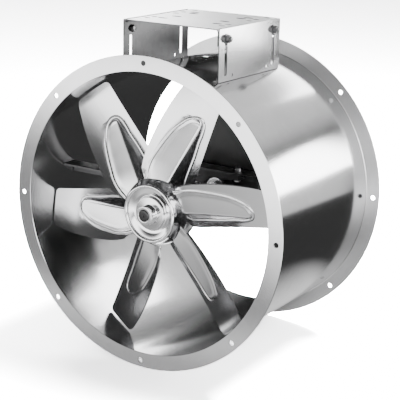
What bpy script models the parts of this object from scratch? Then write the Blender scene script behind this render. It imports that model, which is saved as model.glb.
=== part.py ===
"""Belt-drive tubeaxial fan without its motor, belts or pulleys.

The fan axis is +Y, the front flange face lies at y = 0, and +Z is up. Metres.
"""
import math

import bmesh
import bpy
from mathutils import Matrix, Vector

# Tube housing
TUBE_INNER_R = 0.308
SHEET = 0.003
TUBE_OUTER_R = TUBE_INNER_R + SHEET
TUBE_LENGTH = 0.4445
FLANGE_R = 0.3425
BOLT_CIRCLE_R = 0.327
FLANGE_HOLES = 8
FLANGE_HOLE_R = 0.0058
TUBE_STEPS = 72

# Openings in the top of the tube
BELT_OPENING = (0.090, 0.045)
BELT_OPENING_Y = 0.3875
LEAD_SLOT = (0.042, 0.022)
LEAD_SLOT_AT = (-0.015, 0.256)

# Motor base: two fixed side plates and a sliding inverted channel between them
BASE_FRONT = 0.095
BASE_REAR = 0.345
BASE_TOP = 0.398
BASE_SHEET = 0.0025
SIDE_OUTER_X = 0.1226
SIDE_INNER_X = SIDE_OUTER_X - BASE_SHEET
BASE_OUTER_X = SIDE_INNER_X - 0.0005
BASE_FLANGE_DROP = 0.036
BASE_BEND_R = 0.005
SLOT_Y = (0.1215, 0.3165)
BOLT_Z = 0.376
SLIDE_TRAVEL = 0.072
SLOT_HALF_WIDTH = 0.0052
DRAIN_HOLE_Y = (0.148, 0.293)
DRAIN_HOLE_Z = 0.2975
DRAIN_HOLE_R = 0.0038

# Slotted motor holes in the top of the base: (x, y from the base's middle)
WIDE_MOTOR_SLOTS = ((0.0699, -0.052), (0.0699, 0.076), (0.0619, -0.010), (0.0619, 0.058))
NARROW_MOTOR_SLOTS = ((0.0953, -0.074), (0.0953, -0.048), (0.0953, 0.036), (0.0953, 0.066), (0.0953, 0.112))
WIDE_SLOT_SIZE = (0.024, 0.0100)
NARROW_SLOT_SIZE = (0.015, 0.0088)

# Shaft and its two bearings, hung under angles that cross the tube
SHAFT_R = 0.0127
SHAFT_FRONT = 0.0060
SHAFT_REAR = 0.420
ANGLE_TOP = 0.0475
ANGLE_DEPTH = 0.042
ANGLE_DROP = 0.025
ANGLE_SHEET = 0.0045
ANGLE_FRONTS = (0.1135, 0.2800)
BEARING_SETBACK = 0.0186
BEARING_WIDTH = 0.034
BLOCK_HALF_BASE = 0.066
BLOCK_BASE_THICKNESS = 0.013
BLOCK_BODY_R = 0.035
BLOCK_BOLT_X = 0.0525
BEARING_OUTER_R = 0.0260
BEARING_SPLIT_R = 0.0175

# Belt tunnel between the shaft and the top of the tube
TUNNEL_R = 0.090
TUNNEL_TOP_HALF = 0.055
TUNNEL_FRONT = 0.335
TUNNEL_REAR = 0.430
TUNNEL_SHEET = 0.002
TUNNEL_LIP = 0.014

# Propeller
BLADES = 6
FIRST_BLADE_ANGLE = math.radians(-39.6)
BLADE_TIP_R = 0.3045
HUB_R = 0.075
HUB_FRONT = 0.025
HUB_REAR = 0.100
BUSHING_R = 0.020
BLADE_SHEET = 0.0030
PITCH_ROOT = math.radians(31.9)
PITCH_TIP = math.radians(19.7)
STATIONS = (0.060, 0.075, 0.095, 0.125, 0.185, 0.245, 0.3045)
LEADING_EDGE = (-0.052, -0.0645, -0.0692, -0.0707, -0.0660, -0.0552, -0.0380)
TRAILING_EDGE = (0.0500, 0.0510, 0.0505, 0.0485, 0.0463, 0.0455, 0.0460)
BLADE_MIDDLE_Y = (0.0700, 0.0704, 0.0712, 0.0725, 0.0745, 0.0755, 0.0760)
PAD_LEADING = (-0.048, -0.0530, -0.0545, -0.0525, -0.0345, -0.0020, 0.0060)
PAD_CREASE = (-0.008, -0.0050, -0.0020, 0.0025, 0.0120, 0.0130, 0.0140)
PAD_TRAILING = (0.0300, 0.0300, 0.0300, 0.0300, 0.0275, 0.0200, 0.0220)
PAD_END = 0.226
PAD_END_BEVEL = 0.012
PAD_HEIGHT_ROOT = 0.021
PAD_HEIGHT_END = 0.004
TIP_CORNER_R = 0.009
BLADE_CAMBER = 1.0
CAMBER_HALF = 0.056
CAMBER_MIDDLE = 0.008

# Fasteners
GAP = 0.0003
SOLID_STEPS = 24
BOLT_R = 0.0046
BOLT_HOLE_R = 0.0052
BOLT_HEX = 0.0071
NUT_THICKNESS = 0.0078
HEAD_THICKNESS = 0.0058
WASHER_R = 0.0105
WASHER_THICKNESS = 0.0016
SCREW_R = 0.0021
SCREW_HEAD_R = 0.0048
SET_SCREW_R = 0.0040
KEY_SIZE = 0.0060

ROUND = "round"
HEX = "hex"
SIDES = {"left": -1.0, "right": 1.0}
ALONG_X = Matrix.Rotation(math.radians(-90.0), 4, "Z")
ALONG_Z = Matrix.Rotation(math.radians(90.0), 4, "X")


def clear_scene():
    for old in list(bpy.data.objects):
        bpy.data.objects.remove(old, do_unlink=True)


def make_material(name, colour, roughness, metallic):
    material = bpy.data.materials.new(name)
    material.use_nodes = True
    shader = material.node_tree.nodes["Principled BSDF"]
    shader.inputs["Base Color"].default_value = (*colour, 1.0)
    shader.inputs["Roughness"].default_value = roughness
    shader.inputs["Metallic"].default_value = metallic
    material.diffuse_color = (*colour, 1.0)
    return material


def make_object(name, bm, material, place=None, sharp_degrees=32.0):
    """Turn a bmesh into a named object, optionally placed by a matrix."""
    bmesh.ops.recalc_face_normals(bm, faces=bm.faces)
    mesh = bpy.data.meshes.new(name)
    bm.to_mesh(mesh)
    bm.free()
    mesh.shade_smooth()
    mesh.set_sharp_from_angle(angle=math.radians(sharp_degrees))
    mesh.materials.append(material)
    thing = bpy.data.objects.new(name, mesh)
    bpy.context.scene.collection.objects.link(thing)
    if place is not None:
        thing.matrix_world = place
    return thing


def make_cutter(name, bm):
    bmesh.ops.recalc_face_normals(bm, faces=bm.faces)
    mesh = bpy.data.meshes.new(name)
    bm.to_mesh(mesh)
    bm.free()
    cutter = bpy.data.objects.new(name, mesh)
    bpy.context.scene.collection.objects.link(cutter)
    cutter.hide_render = True
    cutter.display_type = "WIRE"
    return cutter


def combine(thing, cutter, operation="DIFFERENCE"):
    modifier = thing.modifiers.new(cutter.name, "BOOLEAN")
    modifier.operation = operation
    modifier.solver = "EXACT"
    modifier.object = cutter


def hex_reach(flat_reach, angle):
    """Distance from the middle of a hexagon to its outline in one direction."""
    sixth = math.pi / 3.0
    return flat_reach / math.cos((angle + sixth / 2.0) % sixth - sixth / 2.0)


def turned(stations, steps=SOLID_STEPS, loop=False, bm=None):
    """Rings round the Y axis at (reach, y, shape), joined in order. A loop leaves a hole through the middle."""
    if bm is None:
        bm = bmesh.new()
    rings = []
    for reach, along, shape in stations:
        ring = []
        for step in range(steps):
            angle = 2.0 * math.pi * step / steps
            radius = hex_reach(reach, angle) if shape == HEX else reach
            ring.append(bm.verts.new((radius * math.sin(angle), along, radius * math.cos(angle))))
        rings.append(ring)
    pairs = list(zip(rings, rings[1:]))
    if loop:
        pairs.append((rings[-1], rings[0]))
    else:
        bm.faces.new(rings[0])
        bm.faces.new(list(reversed(rings[-1])))
    for first, second in pairs:
        for step in range(steps):
            after = (step + 1) % steps
            bm.faces.new((first[step], second[step], second[after], first[after]))
    return bm


def prism(outline, low, high, place=None, bm=None):
    """A closed outline of (x, z) points, extruded along Y from low to high."""
    if bm is None:
        bm = bmesh.new()
    near = [bm.verts.new((x, low, z)) for x, z in outline]
    far = [bm.verts.new((x, high, z)) for x, z in outline]
    bm.faces.new(near)
    bm.faces.new(list(reversed(far)))
    for index, vertex in enumerate(near):
        after = (index + 1) % len(near)
        bm.faces.new((vertex, far[index], far[after], near[after]))
    if place is not None:
        bmesh.ops.transform(bm, matrix=place, verts=near + far)
    return bm


def arc(centre, radius, start_degrees, end_degrees, steps):
    """Points on an arc in the (x, z) plane; angles run from +X towards +Z."""
    points = []
    for step in range(steps + 1):
        angle = math.radians(start_degrees + (end_degrees - start_degrees) * step / steps)
        points.append((centre[0] + radius * math.cos(angle), centre[1] + radius * math.sin(angle)))
    return points


def obround(length, width, steps=8):
    """A slot outline, long in the first direction, round at both ends."""
    radius = width / 2.0
    reach = length / 2.0 - radius
    return arc((reach, 0.0), radius, -90.0, 90.0, steps) + arc((-reach, 0.0), radius, 90.0, 270.0, steps)


def rounded_box(length, width, radius, steps=4):
    """A rectangle outline with round corners."""
    x = length / 2.0 - radius
    z = width / 2.0 - radius
    corners = ((x, z, 0.0), (-x, z, 90.0), (-x, -z, 180.0), (x, -z, 270.0))
    points = []
    for corner_x, corner_z, start in corners:
        points += arc((corner_x, corner_z), radius, start, start + 90.0, steps)
    return points


def block(low, high, bm=None):
    outline = [(low[0], low[2]), (high[0], low[2]), (high[0], high[2]), (low[0], high[2])]
    return prism(outline, low[1], high[1], bm=bm)


def level(x, y, z):
    """Placement that lays an extrusion made along Y upright, along Z, at a point."""
    return Matrix.Translation((x, y, z)) @ Matrix.Rotation(math.radians(-90.0), 4, "X")


def around_axis(angle, radius, y):
    """A point at an angle from straight up towards +X."""
    return Vector((radius * math.sin(angle), y, radius * math.cos(angle)))


def make_housing(steel):
    """The tube wall, and a flange ring round each of its ends."""
    wall = [
        (TUBE_INNER_R, 0.0, ROUND),
        (TUBE_OUTER_R, 0.0, ROUND),
        (TUBE_OUTER_R, TUBE_LENGTH, ROUND),
        (TUBE_INNER_R, TUBE_LENGTH, ROUND),
    ]
    tube = make_object("housing_tube", turned(wall, TUBE_STEPS, loop=True), steel)
    openings = bmesh.new()
    above = TUBE_OUTER_R + 0.007
    prism(rounded_box(*BELT_OPENING, 0.008), 0.0, 0.03, level(0.0, BELT_OPENING_Y, above), bm=openings)
    prism(obround(*LEAD_SLOT), 0.0, 0.03, level(*LEAD_SLOT_AT, above), bm=openings)
    combine(tube, make_cutter("cut_tube", openings))

    for end, low in (("front", 0.0), ("rear", TUBE_LENGTH - SHEET)):
        high = low + SHEET
        inner = TUBE_OUTER_R + GAP
        ring = [(inner, low, ROUND), (FLANGE_R, low, ROUND), (FLANGE_R, high, ROUND), (inner, high, ROUND)]
        flange = make_object("flange_" + end, turned(ring, TUBE_STEPS, loop=True), steel)
        holes = bmesh.new()
        for hole in range(FLANGE_HOLES):
            centre = around_axis(2.0 * math.pi * hole / FLANGE_HOLES, BOLT_CIRCLE_R, low)
            outline = arc((centre.x, centre.z), FLANGE_HOLE_R, 0.0, 337.5, 15)
            prism(outline, low - SHEET, high + SHEET, bm=holes)
        combine(flange, make_cutter("cut_flange_" + end, holes))


def make_side_plates(steel):
    foot = math.sqrt(TUBE_OUTER_R ** 2 - SIDE_INNER_X ** 2) + GAP
    corner = 0.004
    middle = (BASE_FRONT + BASE_REAR) / 2.0
    half = (BASE_REAR - BASE_FRONT) / 2.0
    outline = [(-half, foot), (half, foot)]
    outline += arc((half - corner, BASE_TOP - corner), corner, 0.0, 90.0, 3)
    outline += arc((corner - half, BASE_TOP - corner), corner, 90.0, 180.0, 3)
    for side, sign in SIDES.items():
        turn = Matrix.Translation((0.0, middle, 0.0)) @ Matrix.Rotation(math.radians(90.0), 4, "Z")
        edges = sorted((-sign * SIDE_INNER_X, -sign * SIDE_OUTER_X))
        plate = make_object("side_plate_" + side, prism(outline, edges[0], edges[1], turn), steel)
        holes = bmesh.new()
        slot = obround(SLIDE_TRAVEL + 2.0 * SLOT_HALF_WIDTH + 0.0010, 2.0 * SLOT_HALF_WIDTH)
        upright = [(-z, x) for x, z in slot]
        reach = SIDE_OUTER_X + 0.01
        for y in SLOT_Y:
            place = turn @ Matrix.Translation((y - middle, 0.0, BOLT_Z - SLIDE_TRAVEL / 2.0))
            prism(upright, min(0.0, -sign * reach), max(0.0, -sign * reach), place, bm=holes)
        for y in DRAIN_HOLE_Y:
            ring = arc((y - middle, DRAIN_HOLE_Z), DRAIN_HOLE_R, 0.0, 330.0, 11)
            prism(ring, min(0.0, -sign * reach), max(0.0, -sign * reach), turn, bm=holes)
        combine(plate, make_cutter("cut_side_" + side, holes))


def make_motor_base(steel):
    """An inverted channel that slides up and down between the side plates."""
    inner_r = BASE_BEND_R
    outer_r = inner_r + BASE_SHEET
    foot = BASE_TOP - BASE_FLANGE_DROP
    outer_corner = (BASE_OUTER_X - outer_r, BASE_TOP - outer_r)
    outline = [(BASE_OUTER_X, foot)]
    outline += arc(outer_corner, outer_r, 0.0, 90.0, 4)
    outline += arc((-outer_corner[0], outer_corner[1]), outer_r, 90.0, 180.0, 4)
    outline += [(-BASE_OUTER_X, foot), (BASE_SHEET - BASE_OUTER_X, foot)]
    outline += arc((-outer_corner[0], outer_corner[1]), inner_r, 180.0, 90.0, 4)
    outline += arc(outer_corner, inner_r, 90.0, 0.0, 4)
    outline += [(BASE_OUTER_X - BASE_SHEET, foot)]
    base = make_object("motor_base_plate", prism(outline, BASE_FRONT, BASE_REAR), steel)

    middle = (BASE_FRONT + BASE_REAR) / 2.0
    holes = bmesh.new()
    for places, size in ((WIDE_MOTOR_SLOTS, WIDE_SLOT_SIZE), (NARROW_MOTOR_SLOTS, NARROW_SLOT_SIZE)):
        for x, y in places:
            for sign in SIDES.values():
                spot = level(sign * x, middle + y, BASE_TOP + 0.01)
                prism(obround(*size, 6), 0.0, 0.02, spot, bm=holes)
    combine(base, make_cutter("cut_motor_slots", holes))

    bolt_holes = bmesh.new()
    for y in SLOT_Y:
        for sign in SIDES.values():
            reach = (sign * (SIDE_INNER_X - 0.010), sign * SIDE_OUTER_X)
            place = Matrix.Translation((0.0, y, BOLT_Z)) @ ALONG_X
            stations = [(BOLT_HOLE_R, min(reach), ROUND), (BOLT_HOLE_R, max(reach), ROUND)]
            hole = turned(stations)
            bmesh.ops.transform(hole, matrix=place, verts=hole.verts)
            mesh = bpy.data.meshes.new("bolt_hole")
            hole.to_mesh(mesh)
            hole.free()
            bolt_holes.from_mesh(mesh)
            bpy.data.meshes.remove(mesh)
    combine(base, make_cutter("cut_base_bolts", bolt_holes))
    return base


def hex_bolt(length):
    """Head behind y = 0, shank along +Y, with a chamfered point."""
    chamfer = 0.0008
    stations = [
        (BOLT_HEX - chamfer, -HEAD_THICKNESS, ROUND),
        (BOLT_HEX, -HEAD_THICKNESS + chamfer, HEX),
        (BOLT_HEX, 0.0, HEX),
        (BOLT_R, 0.0, ROUND),
        (BOLT_R, length - chamfer, ROUND),
        (BOLT_R - chamfer, length, ROUND),
    ]
    return turned(stations)


def hex_nut(thickness=NUT_THICKNESS):
    chamfer = 0.0008
    stations = [
        (BOLT_HOLE_R, 0.0, ROUND),
        (BOLT_HEX, 0.0, HEX),
        (BOLT_HEX, thickness - chamfer, HEX),
        (BOLT_HEX - chamfer, thickness, ROUND),
        (BOLT_HOLE_R, thickness, ROUND),
    ]
    return turned(stations, loop=True)


def washer():
    stations = [
        (BOLT_HOLE_R, 0.0, ROUND),
        (WASHER_R, 0.0, ROUND),
        (WASHER_R, WASHER_THICKNESS, ROUND),
        (BOLT_HOLE_R, WASHER_THICKNESS, ROUND),
    ]
    return turned(stations, loop=True)


def make_base_fasteners(zinc):
    """A bolt from inside, a washer and a nut outside, at each of the four slots."""
    head_seat = BASE_OUTER_X - BASE_SHEET - GAP
    washer_seat = SIDE_OUTER_X + GAP
    nut_seat = washer_seat + WASHER_THICKNESS + GAP
    length = nut_seat + NUT_THICKNESS + 0.003 - head_seat
    for side, sign in SIDES.items():
        outward = ALONG_X if sign > 0.0 else Matrix.Rotation(math.radians(90.0), 4, "Z")
        for end, y in zip(("front", "rear"), SLOT_Y):
            name = end + "_" + side

            def seat(x):
                return Matrix.Translation((sign * x, y, BOLT_Z)) @ outward

            make_object("base_bolt_" + name, hex_bolt(length), zinc, seat(head_seat))
            make_object("base_washer_" + name, washer(), zinc, seat(washer_seat))
            make_object("base_nut_" + name, hex_nut(), zinc, seat(nut_seat))


def make_cross_angles(paint):
    """Angles from wall to wall of the tube, which carry the two bearings from above the shaft."""
    for end, front in zip(("front", "rear"), ANGLE_FRONTS):
        back = front + ANGLE_DEPTH
        low = ANGLE_TOP - ANGLE_DROP
        under = ANGLE_TOP - ANGLE_SHEET
        section = [
            (front, under),
            (front, ANGLE_TOP),
            (back, ANGLE_TOP),
            (back, low),
            (back - ANGLE_SHEET, low),
            (back - ANGLE_SHEET, under),
        ]
        bm = bmesh.new()
        rings = []
        for sign in (-1.0, 1.0):
            ring = []
            for y, z in section:
                reach = math.sqrt((TUBE_INNER_R - 0.0012) ** 2 - z * z)
                ring.append(bm.verts.new((sign * reach, y, z)))
            rings.append(ring)
            bm.faces.new(ring)
        for index in range(len(section)):
            after = (index + 1) % len(section)
            bm.faces.new((rings[0][index], rings[0][after], rings[1][after], rings[1][index]))
        angle = make_object("cross_angle_" + end, bm, paint)
        holes = bmesh.new()
        for sign in SIDES.values():
            ring = [(x + sign * BLOCK_BOLT_X, z) for x, z in arc((0.0, 0.0), BOLT_HOLE_R, 0.0, 337.5, 15)]
            prism(ring, 0.0, 0.02, level(0.0, front + BEARING_SETBACK, ANGLE_TOP + 0.008), bm=holes)
        combine(angle, make_cutter("cut_angle_" + end, holes))


def make_bearings(cast, bearing_steel, zinc):
    """Pillow blocks hung upside down under the cross angles, each with an outer and an inner ring."""
    seat = ANGLE_TOP - ANGLE_SHEET - GAP
    foot = seat - BLOCK_BASE_THICKNESS
    join = math.degrees(math.asin(foot / BLOCK_BODY_R))
    half_base = 0.0180
    half_body = 0.016
    for end, front in zip(("front", "rear"), ANGLE_FRONTS):
        middle = front + BEARING_SETBACK
        outline = [(BLOCK_HALF_BASE, foot), (BLOCK_HALF_BASE, seat), (-BLOCK_HALF_BASE, seat)]
        outline += [(-BLOCK_HALF_BASE, foot)]
        outline += arc((0.0, 0.0), BLOCK_BODY_R, 180.0 - join, 360.0 + join, 20)
        housing = make_object("bearing_housing_" + end, prism(outline, middle - half_base, middle + half_base), cast)

        relief = bmesh.new()
        limit = seat + 0.01
        for low, high in ((middle - half_base - 0.01, middle - half_body), (middle + half_body, middle + half_base + 0.01)):
            block((-BLOCK_HALF_BASE - 0.01, low, -limit), (BLOCK_HALF_BASE + 0.01, high, foot - 0.0005), bm=relief)
        combine(housing, make_cutter("cut_block_relief_" + end, relief))
        bore = turned([(BEARING_OUTER_R + GAP, middle - 0.03, ROUND), (BEARING_OUTER_R + GAP, middle + 0.03, ROUND)], 32)
        combine(housing, make_cutter("cut_block_bore_" + end, bore))
        bolts = bmesh.new()
        for sign in SIDES.values():
            ring = [(x + sign * BLOCK_BOLT_X, z) for x, z in arc((0.0, 0.0), BOLT_HOLE_R, 0.0, 337.5, 15)]
            prism(ring, 0.0, 0.04, level(0.0, middle, seat + 0.01), bm=bolts)
        combine(housing, make_cutter("cut_block_bolts_" + end, bolts))

        outer = [
            (BEARING_SPLIT_R + GAP, middle - 0.0085, ROUND),
            (BEARING_OUTER_R, middle - 0.0085, ROUND),
            (BEARING_OUTER_R, middle + 0.0085, ROUND),
            (BEARING_SPLIT_R + GAP, middle + 0.0085, ROUND),
        ]
        make_object("bearing_outer_ring_" + end, turned(outer, 32, loop=True), bearing_steel)
        inner = [
            (SHAFT_R + GAP, middle - BEARING_WIDTH / 2.0, ROUND),
            (BEARING_SPLIT_R, middle - BEARING_WIDTH / 2.0, ROUND),
            (BEARING_SPLIT_R, middle + BEARING_WIDTH / 2.0, ROUND),
            (SHAFT_R + GAP, middle + BEARING_WIDTH / 2.0, ROUND),
        ]
        make_object("bearing_inner_ring_" + end, turned(inner, 32, loop=True), bearing_steel)

        under = foot - GAP
        length = ANGLE_TOP - under + NUT_THICKNESS + GAP + 0.002
        for side, sign in SIDES.items():
            name = end + "_" + side
            up = Matrix.Translation((sign * BLOCK_BOLT_X, middle, under)) @ ALONG_Z
            make_object("bearing_bolt_" + name, hex_bolt(length), zinc, up)
            top = Matrix.Translation((sign * BLOCK_BOLT_X, middle, ANGLE_TOP + GAP)) @ ALONG_Z
            make_object("bearing_nut_" + name, hex_nut(), zinc, top)


def tunnel_outline(inset, top):
    """The tunnel's section: a half circle round the shaft, with straight sides closing in towards the top."""
    radius = TUNNEL_R - inset
    lean = math.degrees(math.atan2(TUNNEL_R - TUNNEL_TOP_HALF, TUBE_INNER_R))
    points = arc((0.0, 0.0), radius, lean, -180.0 - lean, 28)
    side = (top - points[0][1]) * math.tan(math.radians(lean))
    return points + [(points[-1][0] + side, top), (points[0][0] - side, top)]


def make_belt_tunnel(paint, zinc):
    above = TUBE_INNER_R + 0.02
    body = prism(tunnel_outline(0.0, above), TUNNEL_FRONT, TUNNEL_REAR)
    tunnel = make_object("belt_tunnel", body, paint)
    hollow_start = TUNNEL_FRONT + TUNNEL_SHEET
    hollow_end = TUNNEL_REAR - TUNNEL_SHEET
    hollow = prism(tunnel_outline(TUNNEL_SHEET, above + 0.02), hollow_start, hollow_end)
    mouth = prism(tunnel_outline(TUNNEL_LIP, above + 0.02), hollow_end - 0.01, TUNNEL_REAR + 0.01)
    shaft_hole = turned([(SHAFT_R + 0.004, hollow_start - 0.02, ROUND), (SHAFT_R + 0.004, hollow_start + 0.02, ROUND)])
    combine(tunnel, make_cutter("cut_tunnel_hollow", hollow))
    combine(tunnel, make_cutter("cut_tunnel_mouth", mouth))
    combine(tunnel, make_cutter("cut_tunnel_shaft", shaft_hole))
    trim_r = TUBE_INNER_R - 0.0014
    trim = turned([(trim_r, 0.2, ROUND), (trim_r, 0.5, ROUND)], 96)
    combine(tunnel, make_cutter("trim_tunnel", trim), "INTERSECT")

    cover_low = TUNNEL_REAR + GAP
    cover_outline = tunnel_outline(0.0005, TUBE_INNER_R - 0.014)
    cover = make_object("tunnel_cover", prism(cover_outline, cover_low, cover_low + TUNNEL_SHEET), paint)
    spots = []
    for angle in (-0.55, 0.55):
        spots.append(((TUNNEL_R - TUNNEL_LIP / 2.0) * math.sin(angle), -(TUNNEL_R - TUNNEL_LIP / 2.0) * math.cos(angle)))
    high = 0.22
    half = TUNNEL_R - (TUNNEL_R - TUNNEL_TOP_HALF) * high / TUBE_INNER_R - TUNNEL_LIP / 2.0
    spots += [(-half, high), (half, high)]
    holes = bmesh.new()
    for x, z in spots:
        prism(arc((x, z), SCREW_R + GAP, 0.0, 330.0, 11), TUNNEL_REAR - 0.01, TUNNEL_REAR + 0.01, bm=holes)
    cutter = make_cutter("cut_cover_screws", holes)
    combine(tunnel, cutter)
    combine(cover, cutter)
    seat = cover_low + TUNNEL_SHEET + GAP
    for number, (x, z) in enumerate(spots, start=1):
        head = [
            (SCREW_R, -0.009, ROUND),
            (SCREW_R, 0.0, ROUND),
            (SCREW_HEAD_R, 0.0, ROUND),
            (SCREW_HEAD_R, 0.0014, ROUND),
            (SCREW_HEAD_R - 0.0016, 0.0026, ROUND),
        ]
        place = Matrix.Translation((x, seat, z))
        make_object("cover_screw_%d" % number, turned(head, 16), zinc, place)


def make_shaft(bright, steel):
    """The fan shaft with a keyway at each end; the rear one is for the fan's pulley."""
    stations = [
        (SHAFT_R - 0.001, SHAFT_FRONT, ROUND),
        (SHAFT_R, SHAFT_FRONT + 0.001, ROUND),
        (SHAFT_R, SHAFT_REAR - 0.001, ROUND),
        (SHAFT_R - 0.001, SHAFT_REAR, ROUND),
    ]
    shaft = make_object("fan_shaft", turned(stations, 32), bright)
    floor = SHAFT_R - KEY_SIZE / 2.0
    half = KEY_SIZE / 2.0
    keyways = bmesh.new()
    spans = (("hub_key", 0.030, 0.090), ("pulley_key", 0.372, 0.412))
    for name, front, rear in spans:
        block((-half - GAP, front, floor), (half + GAP, rear, SHAFT_R + 0.01), bm=keyways)
        key = block((-half, front + GAP, floor + GAP), (half, rear - GAP, floor + GAP + KEY_SIZE))
        make_object(name, key, steel)
    combine(shaft, make_cutter("cut_keyways", keyways))


def make_hub(cast, zinc):
    """A turned hub: a proud bushing, a flat boss, a ring groove, a rolled rim and a hollow back."""
    bore = SHAFT_R + GAP
    rim = 0.0603
    rim_r = 0.0042
    rim_y = HUB_FRONT + rim_r
    profile = [(bore, SHAFT_FRONT + 0.001), (BUSHING_R - 0.001, SHAFT_FRONT + 0.001)]
    profile += [(BUSHING_R, SHAFT_FRONT + 0.002), (BUSHING_R, 0.0255), (BUSHING_R + 0.0015, 0.0280)]
    profile += [(0.0345, 0.0280), (0.0360, 0.0292), (0.0372, 0.0380), (0.0400, 0.0405), (0.0450, 0.0395)]
    profile += [(0.0510, 0.0345)]
    for step in range(7):
        angle = math.radians(200.0 - 205.0 * step / 6.0)
        profile.append((rim + rim_r * math.cos(angle), rim_y - rim_r * math.sin(angle)))
    profile += [(0.0643, 0.0335), (0.0660, 0.0370), (0.0685, 0.0440), (0.0722, 0.0520), (HUB_R, 0.0600)]
    profile += [(HUB_R, HUB_REAR - 0.0015), (HUB_R - 0.0015, HUB_REAR), (0.0690, HUB_REAR)]
    profile += [(0.0670, 0.0620), (0.0600, 0.0545), (0.0320, 0.0520), (0.0270, 0.0560), (0.0260, HUB_REAR)]
    profile += [(bore, HUB_REAR)]
    stations = [(radius, y, ROUND) for radius, y in profile]
    hub = make_object("hub", turned(stations, 40, loop=True), cast)
    half = KEY_SIZE / 2.0 + GAP
    keyway = block((-half, 0.0295, SHAFT_R - 0.002), (half, 0.110, SHAFT_R + KEY_SIZE / 2.0 + 2.0 * GAP))
    combine(hub, make_cutter("cut_hub_keyway", keyway))

    screw_y = 0.0175
    holes = bmesh.new()
    for number, degrees in enumerate((60.0, 150.0), start=1):
        spin = Matrix.Rotation(math.radians(degrees), 4, "Y")
        place = Matrix.Translation((0.0, screw_y, 0.0)) @ spin @ ALONG_Z
        tube = turned([(SET_SCREW_R + GAP, 0.006, ROUND), (SET_SCREW_R + GAP, 0.03, ROUND)], 16)
        bmesh.ops.transform(tube, matrix=place, verts=tube.verts)
        mesh = bpy.data.meshes.new("screw_hole")
        tube.to_mesh(mesh)
        tube.free()
        holes.from_mesh(mesh)
        bpy.data.meshes.remove(mesh)
        socket = 0.0022
        start = SHAFT_R + GAP
        top = BUSHING_R + 0.0035
        stations = [
            (SET_SCREW_R - 0.001, start, ROUND),
            (SET_SCREW_R, start + 0.001, ROUND),
            (SET_SCREW_R, top - 0.0006, ROUND),
            (SET_SCREW_R - 0.0006, top, ROUND),
            (socket, top, HEX),
            (socket, top - 0.003, HEX),
        ]
        make_object("hub_set_screw_%d" % number, turned(stations, 24), zinc, place)
    combine(hub, make_cutter("cut_set_screws", holes))


def along_stations(values, rho):
    """Smooth (Catmull-Rom) value at a distance out along the blade."""
    last = len(STATIONS) - 2
    index = 0
    while index < last and rho > STATIONS[index + 1]:
        index += 1
    span = STATIONS[index + 1] - STATIONS[index]
    t = (rho - STATIONS[index]) / span

    def slope(at):
        low = max(at - 1, 0)
        high = min(at + 1, len(STATIONS) - 1)
        return (values[high] - values[low]) / (STATIONS[high] - STATIONS[low])

    start = slope(index) * span
    end = slope(index + 1) * span
    square = t * t
    cube = square * t
    low_part = (2.0 * cube - 3.0 * square + 1.0) * values[index] + (cube - 2.0 * square + t) * start
    high_part = (3.0 * square - 2.0 * cube) * values[index + 1] + (cube - square) * end
    return low_part + high_part


def pad_height(rho, across):
    """Height of the pressed pad above the plain blade: a panel up to a crease, then a steep fall."""
    outward = (rho - STATIONS[0]) / (PAD_END - STATIONS[0])
    crest = PAD_HEIGHT_ROOT + (PAD_HEIGHT_END - PAD_HEIGHT_ROOT) * min(max(outward, 0.0), 1.0)
    end = min(max((PAD_END - rho) / PAD_END_BEVEL, 0.0), 1.0)
    leading = along_stations(PAD_LEADING, rho)
    crease = along_stations(PAD_CREASE, rho)
    trailing = along_stations(PAD_TRAILING, rho)
    if across <= leading or across >= trailing:
        return 0.0
    if across < crease:
        return end * crest * (across - leading) / (crease - leading)
    return end * crest * (trailing - across) / (trailing - crease)


def blade_point(rho, across):
    """A point on the middle surface of a blade that points straight up."""
    outward = (rho - STATIONS[0]) / (STATIONS[-1] - STATIONS[0])
    pitch = PITCH_ROOT + (PITCH_TIP - PITCH_ROOT) * outward
    rise = pad_height(rho, across)
    x = across * math.cos(pitch) + rise * math.sin(pitch)
    y = along_stations(BLADE_MIDDLE_Y, rho) + across * math.sin(pitch) - rise * math.cos(pitch)
    y += BLADE_CAMBER * (CAMBER_HALF ** 2 / 3.0 - (across + CAMBER_MIDDLE) ** 2)
    return Vector((x, y, rho))


def rho_at_radius(radius, across):
    """How far out along the blade a point at one offset lies when it is at a true radius from the axis."""
    rho = radius
    for _ in range(12):
        x = blade_point(rho, across).x
        rho = math.sqrt(max(radius * radius - x * x, 0.0004))
    return rho


def blade_columns(rho):
    """Offsets across the blade, with columns on the pad's edges and crease."""
    edge = along_stations(LEADING_EDGE, rho)
    leading = along_stations(PAD_LEADING, rho)
    crease = along_stations(PAD_CREASE, rho)
    trailing = along_stations(PAD_TRAILING, rho)
    back = along_stations(TRAILING_EDGE, rho)
    columns = []
    for low, high, count in ((edge, leading, 2), (leading, crease, 3), (crease, trailing, 2), (trailing, back, 2)):
        for step in range(count):
            columns.append(low + (high - low) * step / count)
    columns.append(back)
    return columns


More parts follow.
